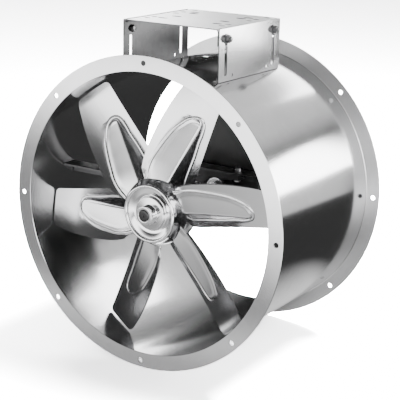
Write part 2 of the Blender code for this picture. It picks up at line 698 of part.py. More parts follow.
def blade_grid():
    """Middle-surface points in rows from the hub out to the tip circle."""
    root = HUB_R + 0.0008
    rows = (0.060, 0.074, 0.090, 0.110, 0.132, 0.155, 0.178, 0.198, 0.213, PAD_END, 0.245, 0.265, 0.285)
    corner = TIP_CORNER_R
    tip_cuts = ((corner, 0.0), (0.4 * corner, 0.2), (0.1 * corner, 0.56), (0.0, 1.0))
    grid = []
    for index, rho in enumerate(rows):
        columns = blade_columns(rho)
        if index == 0:
            line = [blade_point(rho_at_radius(root, across), across) for across in columns]
        else:
            line = []
            for across in columns:
                line.append(blade_point(max(rho, rho_at_radius(root, across) + 0.006 * index), across))
        grid.append(line)
    for depth, inset in tip_cuts:
        line = []
        columns = blade_columns(STATIONS[-1] - depth)
        low = columns[0] + inset * corner
        high = columns[-1] - inset * corner
        for across in columns:
            across = min(max(across, low), high) if inset < 1.0 else across
            line.append((depth, across))
        spread = [low + (high - low) * (across - columns[0]) / (columns[-1] - columns[0]) for across in columns]
        grid.append([blade_point(rho_at_radius(BLADE_TIP_R - depth, across), across) for across in spread])
    return grid


def blade_mesh():
    """Thicken the grid along its own normals into one closed sheet."""
    grid = blade_grid()
    rows = len(grid)
    columns = len(grid[0])
    bm = bmesh.new()
    faces = {}
    for side in (-0.5, 0.5):
        for row in range(rows):
            for column in range(columns):
                out = grid[min(row + 1, rows - 1)][column] - grid[max(row - 1, 0)][column]
                over = grid[row][min(column + 1, columns - 1)] - grid[row][max(column - 1, 0)]
                normal = out.cross(over).normalized()
                faces[side, row, column] = bm.verts.new(grid[row][column] + normal * side * BLADE_SHEET)
    for side in (-0.5, 0.5):
        for row in range(rows - 1):
            for column in range(columns - 1):
                corners = ((row, column), (row + 1, column), (row + 1, column + 1), (row, column + 1))
                bm.faces.new([faces[side, at, by] for at, by in corners])
    border = [(row, 0) for row in range(rows)]
    border += [(rows - 1, column) for column in range(1, columns)]
    border += [(row, columns - 1) for row in range(rows - 2, -1, -1)]
    border += [(0, column) for column in range(columns - 2, 0, -1)]
    for index, here in enumerate(border):
        there = border[(index + 1) % len(border)]
        bm.faces.new((faces[(-0.5, *here)], faces[(-0.5, *there)], faces[(0.5, *there)], faces[(0.5, *here)]))
    return bm


def make_blades(cast):
    for number in range(BLADES):
        spin = Matrix.Rotation(FIRST_BLADE_ANGLE + 2.0 * math.pi * number / BLADES, 4, "Y")
        make_object("blade_%d" % (number + 1), blade_mesh(), cast, spin, 24.0)


def gather(pivot_name, location, prefixes):
    """Parent the pieces that move together to an empty on their joint's axis."""
    pivot = bpy.data.objects.new(pivot_name, None)
    pivot.location = location
    bpy.context.scene.collection.objects.link(pivot)
    to_pivot = Matrix.Translation(location).inverted()
    for thing in list(bpy.data.objects):
        if thing.name.startswith(prefixes):
            thing.parent = pivot
            thing.matrix_parent_inverse = to_pivot


def main():
    clear_scene()
    galvanised = make_material("galvanised_steel", (0.72, 0.73, 0.74), 0.22, 1.0)
    zinc = make_material("zinc_plate", (0.55, 0.56, 0.57), 0.30, 1.0)
    black = make_material("black_paint", (0.03, 0.03, 0.033), 0.38, 0.0)
    cast = make_material("polished_alloy", (0.80, 0.80, 0.81), 0.15, 1.0)
    bearing_steel = make_material("bearing_steel", (0.62, 0.62, 0.63), 0.18, 1.0)
    make_housing(galvanised)
    make_side_plates(galvanised)
    make_motor_base(galvanised)
    make_base_fasteners(zinc)
    make_cross_angles(black)
    make_bearings(black, bearing_steel, zinc)
    make_belt_tunnel(black, zinc)
    make_shaft(bearing_steel, zinc)
    make_hub(cast, zinc)
    make_blades(cast)
    gather("propeller_pivot", (0.0, 0.07, 0.0), ("fan_shaft", "hub", "pulley_key", "blade_", "bearing_inner_ring"))
    gather("motor_base_pivot", (0.0, SLOT_Y[0], BOLT_Z), ("motor_base_plate", "base_"))


main()
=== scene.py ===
"""Looks for the belt-drive tubeaxial fan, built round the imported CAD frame."""

import math

import bmesh
import bpy
from mathutils import Matrix, Vector


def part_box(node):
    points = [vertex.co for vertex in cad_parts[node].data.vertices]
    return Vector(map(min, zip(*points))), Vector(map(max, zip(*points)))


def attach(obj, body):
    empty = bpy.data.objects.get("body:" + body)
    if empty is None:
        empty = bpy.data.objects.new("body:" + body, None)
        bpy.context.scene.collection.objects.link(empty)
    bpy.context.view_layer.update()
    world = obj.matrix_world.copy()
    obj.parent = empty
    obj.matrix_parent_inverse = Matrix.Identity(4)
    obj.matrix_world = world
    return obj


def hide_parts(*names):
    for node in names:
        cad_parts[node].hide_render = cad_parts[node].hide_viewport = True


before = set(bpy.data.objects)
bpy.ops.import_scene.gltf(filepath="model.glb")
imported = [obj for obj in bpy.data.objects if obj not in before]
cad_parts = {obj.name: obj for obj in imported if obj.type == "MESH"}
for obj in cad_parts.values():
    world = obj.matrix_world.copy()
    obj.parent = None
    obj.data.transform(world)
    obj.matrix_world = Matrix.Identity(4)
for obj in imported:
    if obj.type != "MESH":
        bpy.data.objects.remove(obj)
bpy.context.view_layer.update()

# Main sizes in metres, read from the frame's own solids
TUBE_LENGTH = round(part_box("flange_rear")[1].y, 4)
FLANGE_R = round(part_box("flange_front")[1].x, 4)
BASE_LOW, BASE_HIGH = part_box("motor_base_plate")
BASE_FRONT = BASE_LOW.y
BASE_REAR = BASE_HIGH.y
BASE_TOP = BASE_HIGH.z
BASE_OUTER_X = BASE_HIGH.x
SIDE_OUTER_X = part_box("side_plate_right")[1].x
SHAFT_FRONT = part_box("fan_shaft")[0].y
SHAFT_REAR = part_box("fan_shaft")[1].y
HUB_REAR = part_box("hub")[1].y

# Shape details, the same as in the CAD
TUBE_INNER_R = 0.308
SHEET = 0.003
TUBE_OUTER_R = TUBE_INNER_R + SHEET
BOLT_CIRCLE_R = 0.327
FLANGE_HOLES = 8
FLANGE_HOLE_R = 0.0058
BELT_OPENING = (0.090, 0.045)
BELT_OPENING_Y = 0.3875
LEAD_SLOT = (0.042, 0.022)
LEAD_SLOT_AT = (-0.015, 0.256)
BASE_SHEET = 0.0025
SIDE_INNER_X = SIDE_OUTER_X - BASE_SHEET
BASE_FLANGE_DROP = 0.036
BASE_BEND_R = 0.005
SLOT_Y = (0.1215, 0.3165)
BOLT_Z = 0.376
SLIDE_TRAVEL = 0.072
SLOT_HALF_WIDTH = 0.0052
DRAIN_HOLE_Y = (0.148, 0.293)
DRAIN_HOLE_Z = 0.2975
DRAIN_HOLE_R = 0.0038
WIDE_MOTOR_SLOTS = ((0.0699, -0.052), (0.0699, 0.076), (0.0619, -0.010), (0.0619, 0.058))
NARROW_MOTOR_SLOTS = ((0.0953, -0.074), (0.0953, -0.048), (0.0953, 0.036), (0.0953, 0.066), (0.0953, 0.112))
WIDE_SLOT_SIZE = (0.024, 0.0100)
NARROW_SLOT_SIZE = (0.015, 0.0088)
SHAFT_R = 0.0127
ANGLE_TOP = 0.0475
ANGLE_DEPTH = 0.042
ANGLE_DROP = 0.025
ANGLE_SHEET = 0.0045
ANGLE_FRONTS = {"front": 0.1135, "rear": 0.2800}
BEARING_SETBACK = 0.0186
BLOCK_HALF_BASE = 0.066
BLOCK_BASE_THICKNESS = 0.013
BLOCK_BODY_R = 0.035
BLOCK_BOLT_X = 0.0525
BEARING_OUTER_R = 0.0260
BEARING_SPLIT_R = 0.0175
TUNNEL_R = 0.090
TUNNEL_TOP_HALF = 0.055
TUNNEL_FRONT = 0.335
TUNNEL_REAR = 0.430
TUNNEL_SHEET = 0.002
TUNNEL_LIP = 0.014
BUSHING_R = 0.020
HUB_R = 0.075
HUB_FRONT = 0.025
HUB_DISH = ((0.0352, 0.0278), (0.0362, 0.0288), (0.0374, 0.0348), (0.0392, 0.0354), (0.0450, 0.0338),
            (0.0510, 0.0311))
HUB_SKIRT = ((0.0650, 0.0325), (0.0662, 0.0370), (0.0687, 0.0440), (0.0724, 0.0520))
HUB_HOLLOW = ((0.0670, 0.0620), (0.0600, 0.0545), (0.0320, 0.0520), (0.0270, 0.0560))
KEY_SIZE = 0.0060
KEYWAYS = ((0.030, 0.090), (0.372, 0.412))
GAP = 0.0003

BLADES = 6
FIRST_BLADE_ANGLE = math.radians(-39.6)
BLADE_TIP_R = 0.3045
BLADE_SHEET = 0.0030
PITCH_ROOT = math.radians(31.9)
PITCH_TIP = math.radians(19.7)
STATIONS = (0.060, 0.075, 0.095, 0.125, 0.185, 0.245, 0.3045)
LEADING_EDGE = (-0.052, -0.0645, -0.0692, -0.0707, -0.0660, -0.0552, -0.0380)
TRAILING_EDGE = (0.0500, 0.0510, 0.0505, 0.0485, 0.0463, 0.0455, 0.0460)
BLADE_MIDDLE_Y = (0.0700, 0.0704, 0.0712, 0.0725, 0.0745, 0.0755, 0.0760)
TIP_CORNER_R = 0.009
BLADE_CAMBER = 1.0
CAMBER_HALF = 0.056
CAMBER_MIDDLE = 0.008

BOLT_R = 0.0046
BOLT_HOLE_R = 0.0052
BOLT_HEX = 0.0071
NUT_THICKNESS = 0.0078
HEAD_THICKNESS = 0.0058
SCREW_R = 0.0021
SCREW_HEAD_R = 0.0048
WASHER_R = 0.0105
WASHER_THICKNESS = 0.0016

# How far the last point of a closed profile stands from its first, and how far a cutter for sheet
# starts above it and how deep it goes
CLOSING = 1e-5
CUT_ABOVE = 0.01
CUT_DEPTH = 0.02

SIDES = {"left": -1.0, "right": 1.0}
ALONG_X = Matrix.Rotation(math.radians(-90.0), 4, "Z")
ALONG_Z = Matrix.Rotation(math.radians(90.0), 4, "X")
SHARP_ANGLE = 35.0

# The paper is whiter than white, so that it stays pale in the soft light. The second value is the
# strength of the light that the metal mirrors from in front.
PAPER = 5.5
FRONT_LIGHT = 5.0
DARKEST_FLOOR = 0.06
DARKEST_SKY = 0.08
FLOOR_REACH = 14.0


# ------------ materials

# Patterns of tone and gloss: how many repeats to a metre, and how much detail
PATCHES = (9.0, 3.0)
SMUDGES = (4.0, 5.0)
SCRATCHES = (260.0, 2.0)
SWELL = (3.2, 1.0)
DUST = (14.0, 6.0)
PAINT_GLOSS = (6.0, 4.0)
PAPER_FIBRE = (40.0, 4.0)
SPANGLES_PER_METRE = 70.0
SCRATCH_GLOSS = 0.02
SCRATCH_DEPTH = 0.0002
PEEL_STRENGTH = 0.5

# Which way the scratches run: the direction in which the pattern is drawn out
EVEN = (1.0, 1.0, 1.0)
ROUND_THE_TUBE = (0.05, 1.0, 0.05)
ALONG_THE_AXIS = (1.0, 0.05, 1.0)
TURNED = (1.0, 0.06, 1.0)
ACROSS_THE_TUBE = (0.05, 1.0, 1.0)
UP_THE_BLADE = (1.0, 1.0, 0.08)


def feed(socket, value):
    """Set an input to a value, or link it to another node's output."""
    if isinstance(value, bpy.types.NodeSocket):
        socket.id_data.links.new(value, socket)
    else:
        socket.default_value = value


def node(tree, kind, **values):
    """A new shader node. A key that is none of its properties names one of its inputs."""
    made = tree.nodes.new(kind)
    for key, value in values.items():
        if hasattr(made, key):
            setattr(made, key, value)
        else:
            feed(made.inputs[key.replace("_", " ")], value)
    return made


def spread(source, low, high):
    """Map a 0..1 value to low..high."""
    return node(source.id_data, "ShaderNodeMapRange", Value=source, To_Min=low, To_Max=high).outputs[0]


def noise_at(place, scale, detail, stretch=EVEN):
    """A 0..1 noise pattern with this many repeats to a metre."""
    tree = place.id_data
    stretched = node(tree, "ShaderNodeMapping", Vector=place, Scale=stretch).outputs[0]
    return node(tree, "ShaderNodeTexNoise", Vector=stretched, Scale=scale, Detail=detail).outputs["Fac"]


def combine(operation, first, second):
    """One sum of two values. Each is a number or another node's output."""
    tree = (second if isinstance(first, float) else first).id_data
    both = node(tree, "ShaderNodeMath", operation=operation)
    feed(both.inputs[0], first)
    feed(both.inputs[1], second)
    return both.outputs[0]


def grey(value):
    """A neutral colour with a trace of blue."""
    return (value, value, value * 1.01)


def greys_between(factor, dark, light):
    """A colour that goes from the dark grey to the light one with the factor."""
    mix = node(factor.id_data, "ShaderNodeMix", data_type="RGBA")
    mix.inputs[6].default_value = (*grey(dark), 1.0)
    mix.inputs[7].default_value = (*grey(light), 1.0)
    feed(mix.inputs[0], factor)
    return mix.outputs[2]


def bump(height, strength, distance, **under):
    """A surface roughened by this height, over another bump if one is given as Normal."""
    sizes = {"Height": height, "Strength": strength, "Distance": distance}
    return node(height.id_data, "ShaderNodeBump", **sizes, **under).outputs["Normal"]


def start_material(name):
    """A new material and the piece's own coordinates in it."""
    material = bpy.data.materials.new(name)
    material.use_nodes = True
    return material, node(material.node_tree, "ShaderNodeTexCoord").outputs["Object"]


def metal(name, dark, light, rough, stretch, wave=0.0, spangle=0.0, grain=0.04):
    """Bare metal: patchy tone, smudged gloss, drawn scratches and a slight wave in the sheet."""
    material, place = start_material(name)
    tree = material.node_tree
    inputs = tree.nodes["Principled BSDF"].inputs
    inputs["Metallic"].default_value = 1.0
    tone = spread(noise_at(place, *PATCHES), 0.25, 0.85)
    if spangle > 0.0:
        cells = node(tree, "ShaderNodeTexVoronoi", Vector=place, Scale=SPANGLES_PER_METRE)
        split = node(tree, "ShaderNodeSeparateColor", Color=cells.outputs["Color"])
        blend = node(tree, "ShaderNodeMix")
        for socket, value in zip((0, 2, 3), (spangle, tone, split.outputs["Red"])):
            feed(blend.inputs[socket], value)
        tone = blend.outputs[0]
    feed(inputs["Base Color"], greys_between(tone, dark, light))
    scratches = noise_at(place, *SCRATCHES, stretch)
    smudges = spread(noise_at(place, *SMUDGES), *rough)
    feed(inputs["Roughness"], combine("ADD", smudges, spread(scratches, -SCRATCH_GLOSS, SCRATCH_GLOSS)))
    normal = bump(scratches, grain, SCRATCH_DEPTH)
    if wave > 0.0:
        normal = bump(noise_at(place, *SWELL), 1.0, wave, Normal=normal)
    feed(inputs["Normal"], normal)
    return material


def paint(name, dark, light, rough, peel_scale=700.0, peel_depth=0.00006):
    """Sprayed paint: orange peel, dust and uneven gloss."""
    material, place = start_material(name)
    inputs = material.node_tree.nodes["Principled BSDF"].inputs
    dust = spread(noise_at(place, *DUST), 0.0, 1.0)
    feed(inputs["Base Color"], greys_between(dust, dark, light))
    feed(inputs["Roughness"], spread(noise_at(place, *PAINT_GLOSS), *rough))
    feed(inputs["Normal"], bump(noise_at(place, peel_scale, 1.0), PEEL_STRENGTH, peel_depth))
    return material


# Name, darkest and lightest tone, roughness, scratches
SHEET_STEEL = metal("sheet_steel", 0.50, 0.60, (0.11, 0.17), ROUND_THE_TUBE, wave=0.0007, spangle=0.25)
PLATE_STEEL = metal("plate_steel", 0.45, 0.58, (0.12, 0.17), ALONG_THE_AXIS, spangle=0.25)
# Rougher steel for the rear flange's front face, with a lighter tone than the tube that is painted light
FLANGE_STEEL_PAINTED_LIGHT = metal("flange_steel_painted_light", 0.60, 0.70, (0.28, 0.36), ROUND_THE_TUBE, spangle=0.25)
# Dark, rougher steel that paints shade on faces that lie in shade: hole walls, the rear flange's rim, the
# side plates' insides and every face of the base but its top
SHADE_STEEL = metal("steel_painted_shade", 0.08, 0.13, (0.28, 0.38), ALONG_THE_AXIS, spangle=0.3)
BASE_STEEL = metal("base_steel", 0.60, 0.72, (0.36, 0.46), ALONG_THE_AXIS, spangle=0.25)
BLADE_METAL = metal("blade_metal", 0.52, 0.62, (0.15, 0.22), UP_THE_BLADE)
HUB_METAL = metal("hub_metal", 0.62, 0.72, (0.12, 0.18), TURNED, grain=0.015)
SHAFT_METAL = metal("shaft_metal", 0.035, 0.06, (0.24, 0.34), TURNED)
BEARING_METAL = metal("bearing_metal", 0.60, 0.70, (0.14, 0.22), TURNED)
ZINC = metal("zinc_plate", 0.15, 0.26, (0.24, 0.36), EVEN, spangle=0.3)
# Near-black steel for the cross angles: painted shade, as they lie in the dark inside of the tube
ANGLE_STEEL_PAINTED_SHADE = metal("angle_steel_painted_shade", 0.05, 0.09, (0.26, 0.38), ACROSS_THE_TUBE)
# Near-black paint for the belt tunnel and its lid; its tone is also painted shade for the dark inside of the
# tube
BLACK_PAINT_AND_SHADE = paint("black_paint", 0.010, 0.022, (0.30, 0.42))
CAST_BLACK = paint("cast_paint", 0.014, 0.034, (0.38, 0.55), 240.0, 0.0003)


# ------------ mesh tools

def add(name, data):
    """Put data into the scene as an object."""
    thing = bpy.data.objects.new(name, data)
    bpy.context.scene.collection.objects.link(thing)
    return thing


def shade(mesh, material, sharp_degrees=SHARP_ANGLE):
    """Give a mesh its material, and shade it smooth except over sharp edges."""
    mesh.materials.clear()
    mesh.materials.append(material)
    mesh.shade_smooth()
    mesh.set_sharp_from_angle(angle=math.radians(sharp_degrees))


def link(name, mesh, material, place=None, sharp_degrees=SHARP_ANGLE):
    shade(mesh, material, sharp_degrees)
    thing = add(name, mesh)
    if place is not None:
        thing.matrix_world = place
    return thing


def mesh_of(name, bm):
    """Turn a bmesh into a mesh whose faces look outward."""
    bmesh.ops.recalc_face_normals(bm, faces=bm.faces)
    mesh = bpy.data.meshes.new(name)
    bm.to_mesh(mesh)
    bm.free()
    return mesh


def from_bmesh(name, bm, material, place=None, sharp_degrees=SHARP_ANGLE):
    return link(name, mesh_of(name, bm), material, place, sharp_degrees)


def evaluated_mesh(thing):
    """The mesh that an object's modifiers, or a curve's fill, make of it."""
    bpy.context.view_layer.update()
    graph = bpy.context.evaluated_depsgraph_get()
    return bpy.data.meshes.new_from_object(thing.evaluated_get(graph))


def cut(thing, bm):
    """Cut a closed bmesh out of a piece, and apply the cut, so that the piece is one plain mesh."""
    mesh = mesh_of("cutter", bm)
    cutter = add("cutter", mesh)
    modifier = thing.modifiers.new("cut", "BOOLEAN")
    modifier.operation = "DIFFERENCE"
    modifier.solver = "EXACT"
    modifier.object = cutter
    result = evaluated_mesh(thing)
    material = thing.material_slots[0].material
    thing.modifiers.clear()
    thing.data = result
    shade(result, material)
    bpy.data.objects.remove(cutter, do_unlink=True)
    bpy.data.meshes.remove(mesh)


def drill(thing, outlines, low, high, place=None):
    """Cut holes of these outlines into a piece, from low to high along Y, before they are placed."""
    holes = bmesh.new()
    for outline in outlines:
        prism(outline, low, high, place, holes)
    cut(thing, holes)


def soften(thing, width, segments=2, angle=40.0):
    """Round the edges a little and keep the flats flat."""
    bevel = thing.modifiers.new("soften", "BEVEL")
    bevel.width = width
    bevel.segments = segments
    bevel.limit_method = "ANGLE"
    bevel.angle_limit = math.radians(angle)
    bevel.harden_normals = True


def stitch(bm, rings):
    """Join each ring of points to the next one with a band of faces. A ring may be a single point."""
    for first, second in zip(rings, rings[1:]):
        steps = max(len(first), len(second))
        for step in range(steps):
            after = (step + 1) % steps
            places = ((first, step), (second, step), (second, after), (first, after))
            corners = [ring[at % len(ring)] for ring, at in places]
            bm.faces.new(list(dict.fromkeys(corners)))


def revolve(profile, steps=96, loop=False, bm=None):
    """Turn (radius, y) points round the Y axis. A point at radius 0 becomes a fan's middle."""
    if bm is None:
        bm = bmesh.new()
    rings = []
    for radius, along in profile:
        ring = []
        for step in range(steps if radius > 1e-6 else 1):
            angle = 2.0 * math.pi * step / steps
            ring.append(bm.verts.new((radius * math.sin(angle), along, radius * math.cos(angle))))
        rings.append(ring)
    stitch(bm, rings + [rings[0]] if loop else rings)
    return bm


def arc(centre, radius, start_degrees, end_degrees, steps):
    points = []
    for step in range(steps + 1):
        angle = math.radians(start_degrees + (end_degrees - start_degrees) * step / steps)
        points.append((centre[0] + radius * math.cos(angle), centre[1] + radius * math.sin(angle)))
    return points


def rounded(points, radius, steps=4):
    """Round every corner of an open or closed run of (radius, y) points."""
    result = [points[0]]
    for before, here, after in zip(points, points[1:], points[2:]):
        first = Vector(before) - Vector(here)
        second = Vector(after) - Vector(here)
        reach = min(radius, first.length * 0.48, second.length * 0.48)
        start = Vector(here) + first.normalized() * reach
        end = Vector(here) + second.normalized() * reach
        for step in range(steps + 1):
            t = step / steps
            point = start * (1.0 - t) ** 2 + Vector(here) * 2.0 * t * (1.0 - t) + end * t * t
            result.append((point.x, point.y))
    result.append(points[-1])
    return result


def obround(length, width, steps=10):
    radius = width / 2.0
    reach = length / 2.0 - radius
    return arc((reach, 0.0), radius, -90.0, 90.0, steps) + arc((-reach, 0.0), radius, 90.0, 270.0, steps)


def rounded_box(length, width, radius, steps=6):
    x = length / 2.0 - radius
    z = width / 2.0 - radius
    points = []
    for corner_x, corner_z, start in ((x, z, 0.0), (-x, z, 90.0), (-x, -z, 180.0), (x, -z, 270.0)):
        points += arc((corner_x, corner_z), radius, start, start + 90.0, steps)
    return points


def shifted(points, x, z):
    return [(px + x, pz + z) for px, pz in points]


def close_rings(bm, rings):
    """Join rings of points into a solid with a flat face at each end."""
    bm.faces.new(rings[0])
    bm.faces.new(list(reversed(rings[-1])))
    stitch(bm, rings)


def prism(outline, low, high, place=None, bm=None):
    """A closed (x, z) outline, extruded along Y."""
    if bm is None:
        bm = bmesh.new()
    near = [bm.verts.new((x, low, z)) for x, z in outline]
    far = [bm.verts.new((x, high, z)) for x, z in outline]
    close_rings(bm, [near, far])
    if place is not None:
        bmesh.ops.transform(bm, matrix=place, verts=near + far)
    return bm


def block(low, high, bm=None):
    outline = [(low[0], low[2]), (high[0], low[2]), (high[0], high[2]), (low[0], high[2])]
    return prism(outline, low[1], high[1], bm=bm)


def round_hole(x, z, radius, steps=24, start=0.0):
    """The outline of a round hole about (x, z)."""
    return arc((x, z), radius, start, start + 360.0 - 360.0 / steps, steps - 1)


def sheet(name, outline, holes, thickness, material, place, edge=0.0003):
    """A flat plate with holes and softly rolled edges. It lies in XY, centred on z = 0."""
    curve = bpy.data.curves.new(name, "CURVE")
    curve.dimensions = "2D"
    curve.fill_mode = "BOTH"
    curve.extrude = thickness / 2.0 - edge
    curve.bevel_depth = edge
    curve.bevel_resolution = 1
    curve.offset = -edge
    for points in [outline] + holes:
        spline = curve.splines.new("POLY")
        spline.points.add(len(points) - 1)
        for point, (x, y) in zip(spline.points, points):
            point.co = (x, y, 0.0, 1.0)
        spline.use_cyclic_u = True
    helper = add("helper", curve)
    mesh = evaluated_mesh(helper)
    bpy.data.objects.remove(helper, do_unlink=True)
    bpy.data.curves.remove(curve)
    mesh.name = name
    bm = bmesh.new()
    bm.from_mesh(mesh)
    bmesh.ops.remove_doubles(bm, verts=bm.verts, dist=1e-6)
    bm.to_mesh(mesh)
    bm.free()
    return flatten(link(name, mesh, material, place, 40.0))


def flatten(thing):
    """Shade each large flat as a flat, beside its rolled edges."""
    weighted = thing.modifiers.new("flatten", "WEIGHTED_NORMAL")
    weighted.weight = 100
    weighted.keep_sharp = True
    return thing


def finish(thing, material, chosen):
    """Give this material to the faces whose middle and normal are chosen."""
    thing.data.materials.append(material)
    for polygon in thing.data.polygons:
        middle = thing.matrix_world @ polygon.center
        if chosen(middle, thing.matrix_world.to_3x3() @ polygon.normal):
            polygon.material_index = len(thing.data.materials) - 1


def level(x, y, z):
    """Lay an extrusion made along Y upright, going down from a point."""
    return Matrix.Translation((x, y, z)) @ Matrix.Rotation(math.radians(-90.0), 4, "X")


def show(thing, body, slot, *nodes):
    """Ride a piece on its body and hide the CAD nodes that it stands for. The slot is not used."""
    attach(thing, body)
    if nodes:
        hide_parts(*nodes)


# ------------ housing

def is_rear_flange_front(middle, normal):
    return normal.y < -0.5 and middle.y > TUBE_LENGTH / 2.0


def is_painted_shade_face(middle, normal):
    """Whether a face of the housing is the wall of a hole or the rim of the rear flange, which get painted
    shade.
    """
    radius = math.hypot(middle.x, middle.z)
    if radius > FLANGE_R - 0.0003:
        return middle.y > TUBE_LENGTH / 2.0
    in_sheet = TUBE_INNER_R + 0.0007 < radius < TUBE_OUTER_R - 0.0003
    in_hole = abs(radius - BOLT_CIRCLE_R) < 1.2 * FLANGE_HOLE_R
    return (in_hole and abs(normal.y) < 0.5) or (in_sheet and 0.01 < middle.y < TUBE_LENGTH - 0.01)


def make_housing():
    """Tube and flanges in one turned piece, with a small weld fillet behind each flange."""
    lip = 0.0006
    weld = 0.0016
    profile = []
    for low, inward in ((0.0, 1.0), (TUBE_LENGTH, -1.0)):
        section = [(FLANGE_R - lip, low + inward * SHEET), (FLANGE_R, low + inward * (SHEET - lip)),
                   (FLANGE_R, low + inward * lip), (FLANGE_R - lip, low),
                   (TUBE_INNER_R + lip, low), (TUBE_INNER_R, low + inward * lip)]
        fillet = []
        for step in range(5):
            angle = math.radians(90.0 * step / 4.0)
            fillet.append((TUBE_OUTER_R + weld * (1.0 - math.sin(angle)),
                           low + inward * (SHEET + weld * (1.0 - math.cos(angle)))))
        if inward > 0.0:
            profile += section
            front_fillet = fillet
        else:
            profile += list(reversed(section)) + fillet
    profile += list(reversed(front_fillet))
    housing = from_bmesh("housing_shell", revolve(profile, 256, loop=True), SHEET_STEEL)
    holes = bmesh.new()
    for end in (0.0, TUBE_LENGTH):
        for number in range(FLANGE_HOLES):
            angle = 2.0 * math.pi * number / FLANGE_HOLES
            outline = round_hole(BOLT_CIRCLE_R * math.sin(angle), BOLT_CIRCLE_R * math.cos(angle),
                                 FLANGE_HOLE_R, 36, 3.0)
            prism(outline, end - 2.0 * SHEET, end + 2.0 * SHEET, bm=holes)
    above = TUBE_OUTER_R + 0.007
    prism(rounded_box(*BELT_OPENING, 0.008), 0.0, 0.03, level(0.0, BELT_OPENING_Y, above), bm=holes)
    prism(obround(*LEAD_SLOT), 0.0, 0.03, level(*LEAD_SLOT_AT, above), bm=holes)
    cut(housing, holes)
    # The rear flange's front face gets the rougher steel with painted light
    finish(housing, FLANGE_STEEL_PAINTED_LIGHT, is_rear_flange_front)
    # The hole walls and the rear flange's rim get painted shade
    finish(housing, SHADE_STEEL, is_painted_shade_face)
    flatten(housing)
    show(housing, "housing", "galvanised_steel", "housing_tube", "flange_front", "flange_rear")


# ------------ motor base

def make_side_plates():
    """Upright plates that stand on the tube, with slots for the base's bolts."""
    foot = math.sqrt(TUBE_OUTER_R ** 2 - SIDE_INNER_X ** 2) + GAP
    middle_y = (BASE_FRONT + BASE_REAR) / 2.0
    middle_z = (foot + BASE_TOP) / 2.0
    half_y = (BASE_REAR - BASE_FRONT) / 2.0
    half_z = (BASE_TOP - foot) / 2.0
    corner = 0.004
    outline = [(-half_y, -half_z), (half_y, -half_z)]
    outline += arc((half_y - corner, half_z - corner), corner, 0.0, 90.0, 6)
    outline += arc((corner - half_y, half_z - corner), corner, 90.0, 180.0, 6)
    slot_length = SLIDE_TRAVEL + 2.0 * SLOT_HALF_WIDTH + 0.001
    slot = [(z, y) for y, z in obround(slot_length, 2.0 * SLOT_HALF_WIDTH)]
    holes = [shifted(slot, y - middle_y, BOLT_Z - SLIDE_TRAVEL / 2.0 - middle_z) for y in SLOT_Y]
    for y in DRAIN_HOLE_Y:
        holes.append(round_hole(y - middle_y, DRAIN_HOLE_Z - middle_z, DRAIN_HOLE_R))
    for side, sign in SIDES.items():
        x = sign * (SIDE_INNER_X + SIDE_OUTER_X) / 2.0
        turn = Matrix(((0.0, 0.0, 1.0, x), (1.0, 0.0, 0.0, middle_y),
                       (0.0, 1.0, 0.0, middle_z), (0.0, 0.0, 0.0, 1.0)))
        plate = sheet("side_" + side, outline, holes, BASE_SHEET, PLATE_STEEL, turn)
        # The plates' inner faces and edges get painted shade
        finish(plate, SHADE_STEEL, lambda middle, normal: normal.x * middle.x < 0.5 * abs(middle.x))
        show(plate, "housing", "galvanised_steel", "side_plate_" + side)


def make_motor_base():
    """The bent plate that slides between the side plates, with slotted holes for the motor's feet."""
    inner_r = BASE_BEND_R
    outer_r = inner_r + BASE_SHEET
    foot = BASE_TOP - BASE_FLANGE_DROP
    x, z = BASE_OUTER_X - outer_r, BASE_TOP - outer_r
    outline = [(BASE_OUTER_X, foot)]
    outline += arc((x, z), outer_r, 0.0, 90.0, 10)
    outline += arc((-x, z), outer_r, 90.0, 180.0, 10)
    outline += [(-BASE_OUTER_X, foot), (BASE_SHEET - BASE_OUTER_X, foot)]
    outline += arc((-x, z), inner_r, 180.0, 90.0, 10)
    outline += arc((x, z), inner_r, 90.0, 0.0, 10)
    outline += [(BASE_OUTER_X - BASE_SHEET, foot)]
    base = from_bmesh("motor_base", prism(outline, BASE_FRONT, BASE_REAR), BASE_STEEL)
    middle = (BASE_FRONT + BASE_REAR) / 2.0
    holes = bmesh.new()
    for places, size in ((WIDE_MOTOR_SLOTS, WIDE_SLOT_SIZE), (NARROW_MOTOR_SLOTS, NARROW_SLOT_SIZE)):
        for x, y in places:
            for sign in SIDES.values():
                place = level(sign * x, middle + y, BASE_TOP + CUT_ABOVE)
                prism(obround(*size, 8), 0.0, CUT_DEPTH, place, bm=holes)
    cut(base, holes)
    for sign in SIDES.values():
        for y in SLOT_Y:
            turn = Matrix.Translation((sign * (BASE_OUTER_X - CUT_ABOVE), y, BOLT_Z)) @ ALONG_X
            drill(base, [round_hole(0.0, 0.0, BOLT_HOLE_R, start=4.0)], -CUT_DEPTH, CUT_DEPTH, turn)
    # Every face of the base but its top gets painted shade
    finish(base, SHADE_STEEL, lambda middle, normal: normal.z < 0.3)
    soften(base, 0.0003, 1, 50.0)
    show(base, "motor_base", "galvanised_steel", "motor_base_plate")


# ------------ fasteners

def hexagon(flat_reach, steps_per_side=6):
    """A hexagon outline with points along each side, so that chamfers can curve."""
    reach = flat_reach / math.cos(math.radians(30.0))
    turns = [math.radians(60.0 * side) for side in range(7)]
    corners = [Vector((reach * math.sin(turn), reach * math.cos(turn))) for turn in turns]
    points = []
    for start, end in zip(corners, corners[1:]):
        for step in range(steps_per_side):
            point = start.lerp(end, step / steps_per_side)
            points.append((point.x, point.y))
    return points


